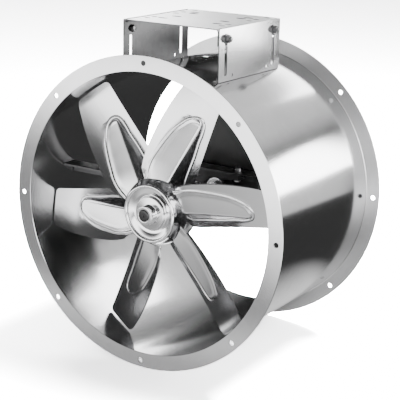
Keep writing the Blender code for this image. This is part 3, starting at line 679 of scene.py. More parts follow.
def hex_rings(bm, flat_reach, low, high, low_chamfer, high_chamfer, inner_r=0.0):
    """A hexagonal prism whose ends are turned down to a cone, as on a real nut or bolt head."""
    outline = hexagon(flat_reach)
    face_r = flat_reach * 0.96
    slope = 0.48
    sharp = 0.00005
    lip = 0.0005

    def ring(y, limit):
        """The outline at this height, drawn in so that no point is beyond the limit."""
        made = []
        for x, z in outline:
            scale = min(1.0, limit / math.hypot(x, z))
            made.append(bm.verts.new((x * scale, y, z * scale)))
        return made

    def side(start, inward, chamfer):
        """The outline at full width, set back where a cone has taken its corners."""
        made = []
        for x, z in outline:
            fall = max(0.0, (math.hypot(x, z) - face_r) * slope) if chamfer else sharp
            made.append(bm.verts.new((x, start + inward * fall, z)))
        return made

    wide = 1.0
    rings = [ring(low, face_r if low_chamfer else wide), side(low, 1.0, low_chamfer),
             side(high, -1.0, high_chamfer), ring(high, face_r if high_chamfer else wide)]
    if inner_r == 0.0:
        close_rings(bm, rings)
        return bm
    bore = ((inner_r + lip, high), (inner_r, high - lip), (inner_r, low + lip), (inner_r + lip, low))
    for radius, y in bore:
        rings.append([bm.verts.new((x * radius / math.hypot(x, z), y, z * radius / math.hypot(x, z)))
                      for x, z in outline])
    stitch(bm, rings + [rings[0]])
    return bm


def thread(bm, radius, low, high, pitch=0.0016, depth=0.00045, steps=28):
    """A screw thread: a ridge that climbs one pitch in each turn."""
    rows = int((high - low) / pitch * 6.0)
    point = 0.0006
    grid = []
    for row in range(rows + 1):
        y = low + (high - low) * row / rows
        fade = max(min(1.0, (high - y) / pitch, (y - low) / pitch + 0.2), 0.0)
        line = []
        for step in range(steps):
            angle = 2.0 * math.pi * step / steps
            phase = (y / pitch - step / steps) % 1.0
            reach = radius - depth * abs(phase * 2.0 - 1.0) * fade
            if row == rows:
                reach -= point
            line.append(bm.verts.new((reach * math.sin(angle), y, reach * math.cos(angle))))
        grid.append(line)
    close_rings(bm, grid)
    return bm


def bolt_mesh(length, threaded_from):
    """Head, plain shank and thread. The head's seat is at 0."""
    bm = bmesh.new()
    hex_rings(bm, BOLT_HEX, -HEAD_THICKNESS, 0.0, True, False)
    start = 0.00002
    revolve([(0.0, start), (BOLT_R, start), (BOLT_R, threaded_from), (0.0, threaded_from)], 28, bm=bm)
    thread(bm, BOLT_R, threaded_from, length)
    return bm


def nut_mesh():
    return hex_rings(bmesh.new(), BOLT_HEX, 0.0, NUT_THICKNESS, True, True, BOLT_HOLE_R)


def washer_mesh():
    """A flat ring with slightly round edges."""
    middle = WASHER_THICKNESS / 2.0
    ring = [(BOLT_HOLE_R, middle), (BOLT_HOLE_R, 0.0), (WASHER_R, 0.0), (WASHER_R, WASHER_THICKNESS),
            (BOLT_HOLE_R, WASHER_THICKNESS), (BOLT_HOLE_R, middle + CLOSING)]
    return revolve(rounded(ring, 0.0003, 3), 48, loop=True)


def show_zinc(name, bm, place, body, *nodes):
    show(from_bmesh(name, bm, ZINC, place), body, "zinc_plate", *nodes)


def make_base_fasteners():
    """Bolts through the base and the side plates' slots: heads inside, washers and nuts outside."""
    head_seat = BASE_OUTER_X - BASE_SHEET - GAP
    washer_seat = SIDE_OUTER_X + GAP
    nut_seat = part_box("base_nut_front_right")[0].x
    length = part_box("base_bolt_front_right")[1].x - head_seat
    for side, sign in SIDES.items():
        outward = ALONG_X if sign > 0.0 else Matrix.Rotation(math.radians(90.0), 4, "Z")
        for end, y in zip(("front", "rear"), SLOT_Y):
            name = end + "_" + side
            roll = Matrix.Rotation(7.0 * y + sign, 4, "Y")
            meshes = (("bolt", head_seat, bolt_mesh(length, 0.006)), ("washer", washer_seat, washer_mesh()),
                      ("nut", nut_seat, nut_mesh()))
            for what, seat, bm in meshes:
                place = Matrix.Translation((sign * seat, y, BOLT_Z)) @ outward @ roll
                show_zinc(what + "_" + name, bm, place, "motor_base", "base_" + what + "_" + name)


def make_bearing_fasteners():
    """Bolts that hang each pillow block under its cross angle: heads below, nuts on top."""
    bolt_low, bolt_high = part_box("bearing_bolt_front_left")
    under = bolt_low.z + HEAD_THICKNESS
    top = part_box("bearing_nut_front_left")[0].z
    for end, front in ANGLE_FRONTS.items():
        for side, sign in SIDES.items():
            name = end + "_" + side
            roll = Matrix.Rotation(2.0 * front + sign * 0.4, 4, "Y")
            meshes = (("bolt", under, bolt_mesh(bolt_high.z - under, 0.012)), ("nut", top, nut_mesh()))
            for what, seat, bm in meshes:
                at = (sign * BLOCK_BOLT_X, front + BEARING_SETBACK, seat)
                place = Matrix.Translation(at) @ ALONG_Z @ roll
                show_zinc("block_" + what + "_" + name, bm, place, "housing", "bearing_" + what + "_" + name)


# ------------ bearings and their angles

def make_cross_angles():
    """Bent angles across the tube, which carry the bearings. Their ends follow the tube's wall."""
    bend = 0.0016
    heel = 0.003
    root = 0.004
    columns = 24
    for end, front in ANGLE_FRONTS.items():
        back = front + ANGLE_DEPTH
        low = ANGLE_TOP - ANGLE_DROP
        under = ANGLE_TOP - ANGLE_SHEET
        section = [(front, under)]
        section += arc((front + bend, ANGLE_TOP - bend), bend, 180.0, 90.0, 4)
        section += arc((back - heel, ANGLE_TOP - heel), heel, 90.0, 0.0, 5)
        section += arc((back - bend, low + bend), bend, 0.0, -90.0, 4)
        section += [(back - ANGLE_SHEET, low)]
        section += arc((back - ANGLE_SHEET - root, under - root), root, 0.0, 90.0, 5)
        bm = bmesh.new()
        rings = []
        for column in range(columns + 1):
            part = 2.0 * column / columns - 1.0
            rings.append([bm.verts.new((part * math.sqrt((TUBE_INNER_R - 0.0012) ** 2 - z * z), y, z))
                          for y, z in section])
        close_rings(bm, rings)
        # The angles' dark tone is painted shade
        angle = from_bmesh("angle_" + end, bm, ANGLE_STEEL_PAINTED_SHADE)
        holes = [round_hole(sign * BLOCK_BOLT_X, 0.0, BOLT_HOLE_R) for sign in SIDES.values()]
        drill(angle, holes, 0.0, 0.02, level(0.0, front + BEARING_SETBACK, ANGLE_TOP + 0.008))
        show(angle, "housing", "black_paint", "cross_angle_" + end)


def make_pillow_block(end, middle, seat):
    """A cast housing hung under its angle: a round body, a bolted base and a bore for the bearing."""
    foot = seat - BLOCK_BASE_THICKNESS
    join = math.degrees(math.asin(foot / BLOCK_BODY_R)) - 8.0
    corner = 0.003
    waist = 0.042
    outline = arc((BLOCK_HALF_BASE - corner, seat - corner), corner, 0.0, 90.0, 3)
    outline += arc((corner - BLOCK_HALF_BASE, seat - corner), corner, 90.0, 180.0, 3)
    outline += [(-BLOCK_HALF_BASE, foot + 0.001), (-waist, foot - 0.0005)]
    outline += arc((0.0, 0.0), BLOCK_BODY_R, 180.0 - join, 360.0 + join, 40)
    outline += [(waist, foot - 0.0005), (BLOCK_HALF_BASE, foot + 0.001)]
    casting = prism(outline, middle - 0.018, middle + 0.018)
    body = from_bmesh("pillow_block_" + end, casting, CAST_BLACK)
    clear = 0.03
    thin = 0.0155
    narrowing = bmesh.new()
    for low, high in ((middle - clear, middle - thin), (middle + thin, middle + clear)):
        beyond = BLOCK_HALF_BASE + 0.01
        block((-beyond, low, -0.06), (beyond, high, foot - 0.0008), bm=narrowing)
    cut(body, narrowing)
    bore_r = BEARING_OUTER_R + GAP
    mouth_r = bore_r + 0.003
    bore = [(0.0, -clear), (mouth_r, -clear), (mouth_r, -0.0145), (bore_r, -0.0115),
            (bore_r, 0.0115), (mouth_r, 0.0145), (mouth_r, clear), (0.0, clear)]
    cut(body, revolve([(radius, middle + y) for radius, y in bore], 64))
    bolts = [round_hole(sign * BLOCK_BOLT_X, 0.0, BOLT_HOLE_R) for sign in SIDES.values()]
    drill(body, bolts, 0.0, 0.05, level(0.0, middle, seat + 0.01))
    soften(body, 0.0012, 3)
    show(body, "housing", "black_paint", "bearing_housing_" + end)


def bearing_ring(name, points, middle, edge):
    """A turned ring with round edges. Its points stand about the bearing's middle."""
    profile = [(radius, middle + y) for radius, y in points]
    return from_bmesh(name, revolve(rounded(profile, edge, 3), 72, loop=True), BEARING_METAL)


def make_bearings():
    """Each pillow block with its outer ring, and the inner ring that turns with the shaft."""
    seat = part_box("bearing_housing_front")[1].z
    for end, front in ANGLE_FRONTS.items():
        middle = front + BEARING_SETBACK
        make_pillow_block(end, middle, seat)
        inner_r = BEARING_SPLIT_R + 0.0003
        outer = [(inner_r, 0.0), (inner_r, -0.0070), (0.0215, -0.0070), (0.0222, -0.0085),
                 (BEARING_OUTER_R, -0.0085), (BEARING_OUTER_R, 0.0085), (0.0222, 0.0085),
                 (0.0215, 0.0070), (inner_r, 0.0070), (inner_r, CLOSING)]
        ring = bearing_ring("bearing_outer_" + end, outer, middle, 0.0004)
        show(ring, "housing", "bearing_steel", "bearing_outer_ring_" + end)
        bore_r = SHAFT_R + GAP
        half = 0.017
        inner = [(bore_r, 0.0), (bore_r, -half), (BEARING_SPLIT_R, -half), (BEARING_SPLIT_R, half),
                 (bore_r, half), (bore_r, CLOSING)]
        sleeve = bearing_ring("bearing_inner_" + end, inner, middle, 0.0005)
        screw = Matrix.Translation((0.0, middle + 0.0125, 0.0)) @ ALONG_Z
        cut(sleeve, prism(round_hole(0.0, 0.0, 0.0028, 12), 0.012, 0.03, screw))
        show(sleeve, "propeller", "bearing_steel", "bearing_inner_ring_" + end)


# ------------ belt tunnel

def tunnel_outline(inset, top, steps=56):
    """Round below the shaft, with sides that lean in towards the top."""
    radius = TUNNEL_R - inset
    lean = math.degrees(math.atan2(TUNNEL_R - TUNNEL_TOP_HALF, TUBE_INNER_R))
    points = arc((0.0, 0.0), radius, lean, -180.0 - lean, steps)
    side = (top - points[0][1]) * math.tan(math.radians(lean))
    return points + [(points[-1][0] + side, top), (points[0][0] - side, top)]


def cover_screw_spots():
    """The (x, z) places of the cover's screws: two low down and two near the top."""
    reach = TUNNEL_R - TUNNEL_LIP / 2.0
    spots = [(reach * math.sin(angle), -reach * math.cos(angle)) for angle in (-0.55, 0.55)]
    high = 0.22
    half = TUNNEL_R - (TUNNEL_R - TUNNEL_TOP_HALF) * high / TUBE_INNER_R - TUNNEL_LIP / 2.0
    return spots + [(-half, high), (half, high)]


def make_belt_tunnel():
    """A black box round the shaft's rear end, open towards the belt opening in the tube. Its black is paint
    and painted shade together.
    """
    above = TUBE_INNER_R + 0.02
    tunnel = from_bmesh("tunnel_body", prism(tunnel_outline(0.0, above), TUNNEL_FRONT, TUNNEL_REAR), BLACK_PAINT_AND_SHADE)
    inner_front = TUNNEL_FRONT + TUNNEL_SHEET
    inner_rear = TUNNEL_REAR - TUNNEL_SHEET
    cut(tunnel, prism(tunnel_outline(TUNNEL_SHEET, above + 0.02), inner_front, inner_rear))
    cut(tunnel, prism(tunnel_outline(TUNNEL_LIP, above + 0.02), inner_rear - 0.01, TUNNEL_REAR + 0.01))
    hole_r = SHAFT_R + 0.004
    low = inner_front - 0.02
    high = inner_front + 0.02
    cut(tunnel, revolve([(0.0, low), (hole_r, low), (hole_r, high), (0.0, high)], 48))
    trim_r = TUBE_INNER_R - 0.0014
    cut(tunnel, revolve([(trim_r, 0.2), (0.6, 0.2), (0.6, 0.5), (trim_r, 0.5)], 192, loop=True))
    screw_holes = [round_hole(x, z, SCREW_R + GAP) for x, z in cover_screw_spots()]
    drill(tunnel, screw_holes, TUNNEL_REAR - 0.01, TUNNEL_REAR + 0.003)
    soften(tunnel, 0.0006)
    show(tunnel, "housing", "black_paint", "belt_tunnel")

    cover_low = TUNNEL_REAR + GAP
    outline = tunnel_outline(0.0005, TUBE_INNER_R - 0.014)
    upright = Matrix(((1.0, 0.0, 0.0, 0.0), (0.0, 0.0, -1.0, cover_low + TUNNEL_SHEET / 2.0),
                      (0.0, 1.0, 0.0, 0.0), (0.0, 0.0, 0.0, 1.0)))
    cover = sheet("tunnel_lid", outline, screw_holes, TUNNEL_SHEET, BLACK_PAINT_AND_SHADE, upright, 0.0004)
    show(cover, "housing", "black_paint", "tunnel_cover")
    for number, (x, z) in enumerate(cover_screw_spots(), start=1):
        make_cover_screw(number, Vector((x, cover_low + TUNNEL_SHEET + GAP, z)))


def make_cover_screw(number, seat):
    """A domed screw with a cross recess, and its threaded shank."""
    rim = 0.0007
    dome_height = 0.0019
    dome = [(0.0, 0.0), (SCREW_HEAD_R, 0.0), (SCREW_HEAD_R, rim)]
    for angle in (0.3, 0.6, 0.9, 1.2):
        dome.append((SCREW_HEAD_R * math.cos(angle), rim + dome_height * math.sin(angle)))
    dome.append((0.0, rim + dome_height))
    place = Matrix.Translation(seat) @ Matrix.Rotation(0.5 * number, 4, "Y")
    screw = from_bmesh("lid_screw_%d" % number, revolve(dome, 40), ZINC, place)
    arm = 0.0026
    half = 0.0004
    for x, z in ((arm, half), (half, arm)):
        recess = block((-x, 0.0012, -z), (x, 0.006, z))
        bmesh.ops.transform(recess, matrix=screw.matrix_world, verts=recess.verts)
        cut(screw, recess)
    length = 0.009
    shank = thread(bmesh.new(), SCREW_R, 0.0, length, 0.0008, 0.0003, 20)
    under = Matrix.Translation(seat - Vector((0.0, length, 0.0)))
    show_zinc("lid_screw_shank_%d" % number, shank, under, "housing")
    show(screw, "housing", "zinc_plate", "cover_screw_%d" % number)


# ------------ shaft and hub

def recolour(name, material):
    """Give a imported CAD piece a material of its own."""
    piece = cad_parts[name]
    piece.data.materials.clear()
    piece.data.materials.append(material)
    return piece


def make_shaft():
    """The shaft, with a centre hole in each end and two keyways."""
    edge = 0.001
    centre = [(0.0, 0.0012), (0.0014, 0.0012), (0.0030, 0.0)]
    end = [(0.006, 0.0), (SHAFT_R - edge, 0.0), (SHAFT_R, edge), (SHAFT_R, 0.02)]
    profile = [(radius, SHAFT_FRONT + y) for radius, y in centre]
    profile += rounded([(radius, SHAFT_FRONT + y) for radius, y in end], 0.0003, 2)
    profile += rounded([(radius, SHAFT_REAR - y) for radius, y in reversed(end)], 0.0003, 2)
    profile += [(radius, SHAFT_REAR - y) for radius, y in reversed(centre)]
    shaft = from_bmesh("shaft", revolve(profile), SHAFT_METAL)
    floor = SHAFT_R - KEY_SIZE / 2.0
    half = KEY_SIZE / 2.0 + GAP
    ways = bmesh.new()
    for low, high in KEYWAYS:
        block((-half, low, floor), (half, high, SHAFT_R + 0.01), bm=ways)
    cut(shaft, ways)
    show(shaft, "propeller", "bearing_steel", "fan_shaft")
    for name in ("hub_key", "pulley_key"):
        soften(recolour(name, BEARING_METAL), 0.0003, angle=35.0)


def make_hub():
    """The hub: bushing, ring groove and flat boss, then a rolled rim, then the skirt and its hollow back."""
    bore = SHAFT_R + GAP
    rim = 0.0605
    rim_r = 0.0045
    rim_y = HUB_FRONT + rim_r - 0.0015
    profile = rounded([(bore, 0.02), (bore, SHAFT_FRONT + 0.0012), (BUSHING_R, SHAFT_FRONT + 0.0012),
                       (BUSHING_R, 0.0275)] + list(HUB_DISH), 0.0012, 4)
    for step in range(13):
        angle = math.radians(200.0 - 200.0 * step / 12.0)
        profile.append((rim + rim_r * math.cos(angle), rim_y - rim_r * math.sin(angle)))
    profile += rounded(list(HUB_SKIRT) + [(HUB_R, 0.0600), (HUB_R, HUB_REAR), (0.0690, HUB_REAR)]
                       + list(HUB_HOLLOW) + [(0.0260, HUB_REAR), (bore, HUB_REAR), (bore, 0.0201)], 0.0016, 5)
    hub = from_bmesh("hub_casting", revolve(profile, 160, loop=True), HUB_METAL, sharp_degrees=50.0)
    half = KEY_SIZE / 2.0 + GAP
    top = SHAFT_R + KEY_SIZE / 2.0 + 2.0 * GAP
    cut(hub, block((-half, 0.0295, SHAFT_R - 0.002), (half, 0.110, top)))
    show(hub, "propeller", "polished_alloy", "hub")
    for name in ("hub_set_screw_1", "hub_set_screw_2"):
        recolour(name, ZINC)


# ------------ blades

# The pressed pad on each blade, in (distance out, distance across) points
PAD_OUTLINE = ((0.050, -0.046), (0.060, -0.050), (0.070, -0.0525), (0.092, -0.0545), (0.111, -0.0535),
               (0.133, -0.0485), (0.156, -0.0425), (0.186, -0.0325), (0.204, -0.0225), (0.219, -0.0110),
               (0.2265, 0.0020), (0.2275, 0.0120), (0.2225, 0.0215), (0.2120, 0.0262), (0.1960, 0.0275),
               (0.1760, 0.0270), (0.1420, 0.0290), (0.1100, 0.0290), (0.0780, 0.0300), (0.0600, 0.0305),
               (0.0500, 0.0305))
CREASE_OUTER = (0.2130, 0.0175)
CREASE_ROOT = (0.0600, -0.0095)
CREST_ROOT = 0.0195
CREST_OUTER = 0.0050
BEAD_HALF = 0.0042
BEAD_INNER = 0.0028
BEAD_RISE = 0.0021


def along_stations(values, rho):
    """A smooth curve through one value for each of the stations out along the blade."""
    last = len(STATIONS) - 2
    index = 0
    while index < last and rho > STATIONS[index + 1]:
        index += 1
    span = STATIONS[index + 1] - STATIONS[index]
    t = (rho - STATIONS[index]) / span

    def slope(at):
        low = max(at - 1, 0)
        high = min(at + 1, len(STATIONS) - 1)
        return (values[high] - values[low]) / (STATIONS[high] - STATIONS[low])

    start = slope(index) * span
    end = slope(index + 1) * span
    square = t * t
    cube = square * t
    low_part = (2.0 * cube - 3.0 * square + 1.0) * values[index] + (cube - 2.0 * square + t) * start
    high_part = (3.0 * square - 2.0 * cube) * values[index + 1] + (cube - square) * end
    return low_part + high_part


def smooth_outline(points, per_span=6):
    """Catmull-Rom through the points."""
    result = []
    last = len(points) - 1
    for index in range(last):
        before = Vector(points[max(index - 1, 0)])
        here = Vector(points[index])
        there = Vector(points[index + 1])
        beyond = Vector(points[min(index + 2, last)])
        for step in range(per_span):
            t = step / per_span
            point = 0.5 * (2.0 * here + (there - before) * t
                           + (2.0 * before - 5.0 * here + 4.0 * there - beyond) * t * t
                           + (3.0 * here - before - 3.0 * there + beyond) * t * t * t)
            result.append((point.x, point.y))
    result.append(tuple(points[-1]))
    return result


PAD_LINE = smooth_outline(PAD_OUTLINE)
PAD_TIP = max(rho for rho, across in PAD_LINE)


def pad_distance(rho, across):
    """Signed distance to the pad's outline, positive inside it."""
    nearest = 1.0
    inside = False
    for (x0, z0), (x1, z1) in zip(PAD_LINE, PAD_LINE[1:]):
        dx = x1 - x0
        dz = z1 - z0
        t = ((rho - x0) * dx + (across - z0) * dz) / (dx * dx + dz * dz)
        t = min(max(t, 0.0), 1.0)
        gap = math.hypot(rho - x0 - dx * t, across - z0 - dz * t)
        nearest = min(nearest, gap)
        if (z0 > across) != (z1 > across):
            if rho < x0 + (across - z0) * dx / dz:
                inside = not inside
    (x0, z0), (x1, z1) = PAD_LINE[-1], PAD_LINE[0]
    if (z0 > across) != (z1 > across) and rho < x0:
        inside = not inside
    return nearest if inside else -nearest


def pad_span(rho):
    """Where the pad's outline begins and ends across the blade at this distance out."""
    at = min(rho, PAD_TIP - 0.0004)
    found = []
    for (x0, z0), (x1, z1) in zip(PAD_LINE, PAD_LINE[1:]):
        if (x0 - at) * (x1 - at) <= 0.0 and abs(x1 - x0) > 1e-7:
            found.append(z0 + (at - x0) * (z1 - z0) / (x1 - x0))
    return min(found), max(found)


def bead_feet(rho):
    """Where the bead round the pad begins and ends across the blade."""
    lows = []
    highs = []
    for part in (0.0, 0.5, 0.8, 0.95, 1.0):
        low, high = pad_span(rho - part * BEAD_HALF)
        side = BEAD_HALF * math.sqrt(1.0 - part * part)
        lows.append(low - side)
        highs.append(high + side)
    return min(lows), max(highs)


def smooth_step(low, high, value):
    t = min(max((value - low) / (high - low), 0.0), 1.0)
    return t * t * (3.0 - 2.0 * t)


def soft_lower(first, second, blend):
    """The lower of two heights, rounded where they cross."""
    mix = min(max(0.5 + 0.5 * (second - first) / blend, 0.0), 1.0)
    return second * (1.0 - mix) + first * mix - blend * mix * (1.0 - mix)


def pad_height(rho, across):
    """How far the pad stands up here: a bead along its outline, and a roof that falls from its crease."""
    distance = pad_distance(rho, across)
    if distance < -BEAD_HALF * 1.2:
        return 0.0
    reach = BEAD_HALF if distance < 0.0 else BEAD_INNER
    bead = BEAD_RISE * 0.5 * (1.0 + math.cos(math.pi * min(abs(distance) / reach, 1.0)))
    if distance <= 0.0:
        return bead
    along = (rho - CREASE_ROOT[0]) / (CREASE_OUTER[0] - CREASE_ROOT[0])
    crease = CREASE_ROOT[1] + (CREASE_OUTER[1] - CREASE_ROOT[1]) * min(along, 1.06)
    crest = CREST_ROOT + (CREST_OUTER - CREST_ROOT) * min(max(along, 0.0), 1.0)
    leading, trailing = pad_span(rho)
    panel = 0.0012 + (crest - 0.0012) * (across - leading) / max(crease - leading, 0.004)
    wall = crest * (trailing - across) / max(trailing - crease, 0.004)
    roof = soft_lower(panel, wall, 0.0022)
    end = smooth_step(0.0, 0.0100, distance)
    limit = distance * 1.3
    return bead + max(soft_lower(roof, limit + 0.0004, 0.002), 0.0) * (0.25 + 0.75 * end)


def blade_point(rho, across, rise=None):
    """A point of the blade's middle surface, twisted, cambered and raised by the pad."""
    outward = (rho - STATIONS[0]) / (STATIONS[-1] - STATIONS[0])
    pitch = PITCH_ROOT + (PITCH_TIP - PITCH_ROOT) * outward
    if rise is None:
        rise = pad_height(rho, across)
    x = across * math.cos(pitch) + rise * math.sin(pitch)
    y = along_stations(BLADE_MIDDLE_Y, rho) + across * math.sin(pitch) - rise * math.cos(pitch)
    y += BLADE_CAMBER * (CAMBER_HALF ** 2 / 3.0 - (across + CAMBER_MIDDLE) ** 2)
    return Vector((x, y, rho))


def rho_at_radius(radius, across):
    """The distance out at which the blade meets a cylinder of this radius."""
    rho = radius
    for _ in range(12):
        x = blade_point(rho, across, 0.0).x
        rho = math.sqrt(max(radius * radius - x * x, 0.0004))
    return rho


def fan_out(low, high, step):
    """Even steps of about this size from low up to, but not including, high."""
    count = max(int(round((high - low) / step)), 1)
    return [low + (high - low) * index / count for index in range(count)]


def blade_rows():
    """Rows close together at the pad's outer end."""
    last = 0.294
    rows = fan_out(0.080, 0.180, 0.0032) + fan_out(0.180, 0.234, 0.0012)
    return rows + fan_out(0.234, last, 0.005) + [last]


def blade_columns(rho):
    """Columns close together at the pad's ribs and crease."""
    edge = along_stations(LEADING_EDGE, rho)
    back = along_stations(TRAILING_EDGE, rho)
    far = min(rho, 0.214)
    leading, trailing = pad_span(rho)
    leading = min(leading, 0.0)
    along = (far - CREASE_ROOT[0]) / (CREASE_OUTER[0] - CREASE_ROOT[0])
    crease = CREASE_ROOT[1] + (CREASE_OUTER[1] - CREASE_ROOT[1]) * along
    crease = min(max(crease, leading + BEAD_HALF + 0.008), 0.0175)
    trailing = max(trailing, crease + 0.0095)
    foot_low, foot_high = bead_feet(rho)
    foot_low = min(foot_low, leading - BEAD_HALF)
    foot_high = max(foot_high, trailing + BEAD_HALF)
    spans = ((edge, foot_low, 4), (foot_low, leading + BEAD_HALF, 14),
             (leading + BEAD_HALF, crease - 0.004, 12), (crease - 0.004, crease + 0.004, 7),
             (crease + 0.004, trailing - BEAD_HALF, 5), (trailing - BEAD_HALF, foot_high, 14),
             (foot_high, back, 3))
    columns = []
    for low, high, count in spans:
        for step in range(count):
            columns.append(low + (high - low) * step / count)
    columns.append(back)
    return columns


def blade_mesh():
    """One blade: a grid of points from the hub to the rounded tip, given the sheet's thickness."""
    root = HUB_R + 0.0004
    corner = TIP_CORNER_R
    grid = []
    grid.append([blade_point(rho_at_radius(root, across), across) for across in blade_columns(0.062)])
    for index, rho in enumerate(blade_rows()):
        line = []
        for across in blade_columns(rho):
            start = rho_at_radius(root, across)
            line.append(blade_point(max(rho, start + 0.0012 * (index + 1)), across))
        grid.append(line)
    for step in range(9):
        angle = math.radians(90.0 * step / 8.0)
        depth = corner * (1.0 - math.sin(angle))
        inset = corner * (1.0 - math.cos(angle))
        columns = blade_columns(STATIONS[-1] - depth)
        low = columns[0] + inset
        high = columns[-1] - inset
        squeeze = (high - low) / (columns[-1] - columns[0])
        inner = [low + squeeze * (across - columns[0]) for across in columns]
        grid.append([blade_point(rho_at_radius(BLADE_TIP_R - depth, across), across) for across in inner])
    height = len(grid)
    width = len(grid[0])
    bm = bmesh.new()
    half = BLADE_SHEET / 2.0
    faces = {}
    normals = {}
    for row in range(height):
        for column in range(width):
            out = grid[min(row + 1, height - 1)][column] - grid[max(row - 1, 0)][column]
            over = grid[row][min(column + 1, width - 1)] - grid[row][max(column - 1, 0)]
            normals[row, column] = out.cross(over).normalized()
    for side in (-1.0, 1.0):
        for (row, column), normal in normals.items():
            faces[side, row, column] = bm.verts.new(grid[row][column] + normal * side * half)
        for row in range(height - 1):
            for column in range(width - 1):
                corners = ((row, column), (row + 1, column), (row + 1, column + 1), (row, column + 1))
                bm.faces.new([faces[side, at, along] for at, along in corners])
    border = [(row, 0) for row in range(height)]
    border += [(height - 1, column) for column in range(1, width)]
    border += [(row, width - 1) for row in range(height - 2, -1, -1)]
    border += [(0, column) for column in range(width - 2, 0, -1)]
    for index, here in enumerate(border):
        there = border[(index + 1) % len(border)]
        corners = ((-1.0, *here), (-1.0, *there), (1.0, *there), (1.0, *here))
        bm.faces.new([faces[corner] for corner in corners])
    return mesh_of("blade", bm)


def make_blades():
    """Six copies of the blade round the hub."""
    shape = blade_mesh()
    for number in range(1, BLADES + 1):
        spin = Matrix.Rotation(FIRST_BLADE_ANGLE + 2.0 * math.pi * (number - 1) / BLADES, 4, "Y")
        blade = link("fan_blade_%d" % number, shape.copy(), BLADE_METAL, spin, 50.0)
        soften(blade, 0.0007, 2, 60.0)
        show(blade, "propeller", "polished_alloy", "blade_%d" % number)


# ------------ stage, light and camera

CAMERA_AZIMUTH = math.radians(32.8)
CAMERA_ELEVATION = math.radians(15.68)
CAMERA_PLACE = Vector((1.4416, -2.0107, 0.7335))
CAMERA_LENS = 109.64
CAMERA_ROLL = math.radians(1.38)


def ramp(source, low, high, at_low, at_high):
    """Smooth change from one value to another while the source goes from low to high."""
    ranged = node(source.id_data, "ShaderNodeMapRange", interpolation_type="SMOOTHSTEP", Value=source,
                  From_Min=low, From_Max=high, To_Min=at_low, To_Max=at_high)
    return ranged.outputs[0]


def times(first, second):
    return combine("MULTIPLY", first, second)


def larger(first, second):
    return combine("MAXIMUM", first, second)


def less(first, second):
    return combine("SUBTRACT", first, second)


def plus(first, second):
    return combine("ADD", first, second)


def floor_glow(x, y):
    """How bright the studio floor is that the metal mirrors: zones in front, to the side and behind."""
    slant = less(times(x, 0.6), y)
    front = times(ramp(slant, 0.45, 1.25, 0.5, 5.2), ramp(y, -0.3, 0.0, 1.0, 0.0))
    far_middle = larger(ramp(x, -0.6, -0.1, 0.0, 0.6), ramp(x, 0.10, 0.35, 0.0, 0.96))
    far_middle = times(far_middle, ramp(y, -1.7, -1.3, 1.0, 0.0))
    front = times(front, less(1.0, far_middle))
    front = times(front, ramp(y, -4.3, -3.3, 0.08, 1.0))
    back = times(ramp(x, 0.20, 0.48, 1.2, 0.05), ramp(y, 0.54, 0.70, 1.0, 0.03))
    beside = ramp(x, 0.02, 0.18, 0.03, 1.0)
    back = times(back, larger(beside, ramp(y, 0.0, 0.3, 1.0, 0.0)))
    back = times(back, ramp(y, -0.5, -0.1, 0.0, 1.0))
    foot = larger(ramp(y, -0.3, -0.05, 1.0, 0.62), ramp(y, 0.05, 0.25, 0.62, 1.0))
    return larger(plus(front, times(back, foot)), DARKEST_FLOOR)


def make_floor():
    """Pale paper. What the metal mirrors is not the paper but a studio floor with dark and light zones."""
    material, place = start_material("floor_paper")
    tree = material.node_tree
    fibre = noise_at(place, *PAPER_FIBRE)
    paper = node(tree, "ShaderNodeBsdfDiffuse", Color=greys_between(fibre, PAPER - 0.03, PAPER))
    axes = node(tree, "ShaderNodeSeparateXYZ", Vector=place).outputs
    mirrored = node(tree, "ShaderNodeEmission", Strength=floor_glow(axes["X"], axes["Y"]))
    seen = node(tree, "ShaderNodeLightPath").outputs["Is Camera Ray"]
    pick = node(tree, "ShaderNodeMixShader")
    for socket, value in zip(pick.inputs, (seen, mirrored.outputs[0], paper.outputs[0])):
        feed(socket, value)
    feed(tree.nodes["Material Output"].inputs["Surface"], pick.outputs[0])
    bm = bmesh.new()
    bm.faces.new([bm.verts.new((x * FLOOR_REACH, y * FLOOR_REACH, -FLANGE_R - 0.0002))
                  for x, y in ((-1, -1), (1, -1), (1, 1), (-1, 1))])
    floor = from_bmesh("floor", bm, material)


def make_world():
    """The studio round the fan. In front it is bright up to a low edge and dark above, dim right of the
    middle, with a bright strip at the far right. Behind it is dark low down and light above."""
    world = bpy.data.worlds.new("studio")
    bpy.context.scene.world = world
    world.use_nodes = True
    tree = world.node_tree
    direction = node(tree, "ShaderNodeTexCoord").outputs["Generated"]
    x, y, z = node(tree, "ShaderNodeSeparateXYZ", Vector=direction).outputs
    front = ramp(y, -0.1, 0.1, 1.0, 0.0)
    sideways = times(combine("ABSOLUTE", x, 0.0), 0.20)
    band = ramp(plus(z, sideways), 0.22, 0.40, FRONT_LIGHT, DARKEST_SKY)
    band = times(band, ramp(x, 0.32, 0.48, 1.0, 0.1))
    right = times(ramp(x, 0.58, 0.65, 0.0, 1.6 * FRONT_LIGHT), ramp(z, 0.38, 0.52, 1.0, 0.0))
    back = times(ramp(z, 0.26, 0.44, DARKEST_SKY, 1.3), ramp(x, -0.45, -0.15, 0.2, 1.0))
    strength = plus(times(plus(band, right), front), times(less(1.0, front), back))
    background = tree.nodes["Background"].inputs
    feed(background["Strength"], strength)
    feed(background["Color"], (1.0, 1.0, 1.0, 1.0))


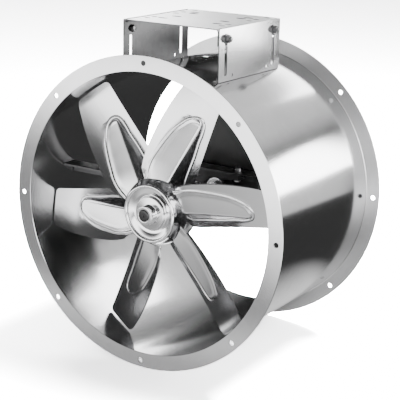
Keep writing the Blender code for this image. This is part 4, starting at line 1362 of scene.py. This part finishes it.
def soft_box(name, place, aim, size, radiance):
    """A rectangular lamp of this size and radiance. The camera doesn't see it."""
    data = bpy.data.lights.new(name, "AREA")
    data.shape = "RECTANGLE"
    data.size = size[0]
    data.size_y = size[1]
    data.energy = radiance * math.pi * size[0] * size[1]
    lamp = add(name, data)
    lamp.location = place
    lamp.rotation_euler = (Vector(aim) - Vector(place)).to_track_quat("-Z", "Y").to_euler()
    lamp.visible_camera = False
    return lamp


def make_lights():
    """One strong lamp from above, and soft boxes that the side of the tube mirrors."""
    overhead = soft_box("overhead", (0.9, 1.1, 2.8), (0.0, 0.1, 0.0), (1.1, 1.1), 330.0)
    overhead.visible_glossy = False
    soft_box("back_right", (1.31, 1.6, 0.37), (1.31, 0.0, 0.37), (0.78, 0.5), 16.0)
    soft_box("back_low", (1.3, 1.6, -0.05), (1.3, 0.0, -0.05), (0.66, 0.34), 1.3)
    soft_box("back_middle", (0.0, 1.2, 0.63), (0.0, 0.0, 0.63), (0.6, 0.3), 9.0)
    soft_box("back_left", (-1.4, 1.2, 1.4), (0.0, 0.2, 0.4), (1.4, 1.4), 10.0)


def make_camera():
    """The camera, aimed by azimuth and elevation and rolled a little."""
    data = bpy.data.cameras.new("camera")
    data.sensor_width = 36.0
    data.lens = CAMERA_LENS
    data.clip_start = 0.05
    data.clip_end = 100.0
    camera = add("camera", data)
    back = Vector((math.sin(CAMERA_AZIMUTH) * math.cos(CAMERA_ELEVATION),
                   -math.cos(CAMERA_AZIMUTH) * math.cos(CAMERA_ELEVATION), math.sin(CAMERA_ELEVATION)))
    aim = (-back).to_track_quat("-Z", "Y").to_matrix().to_4x4()
    roll = Matrix.Rotation(CAMERA_ROLL, 4, "Z")
    camera.matrix_world = Matrix.Translation(CAMERA_PLACE) @ aim @ roll
    bpy.context.scene.camera = camera


make_housing()
make_side_plates()
make_motor_base()
make_base_fasteners()
make_bearing_fasteners()
make_cross_angles()
make_bearings()
make_belt_tunnel()
make_shaft()
make_hub()
make_blades()
make_floor()
make_world()
make_lights()
make_camera()
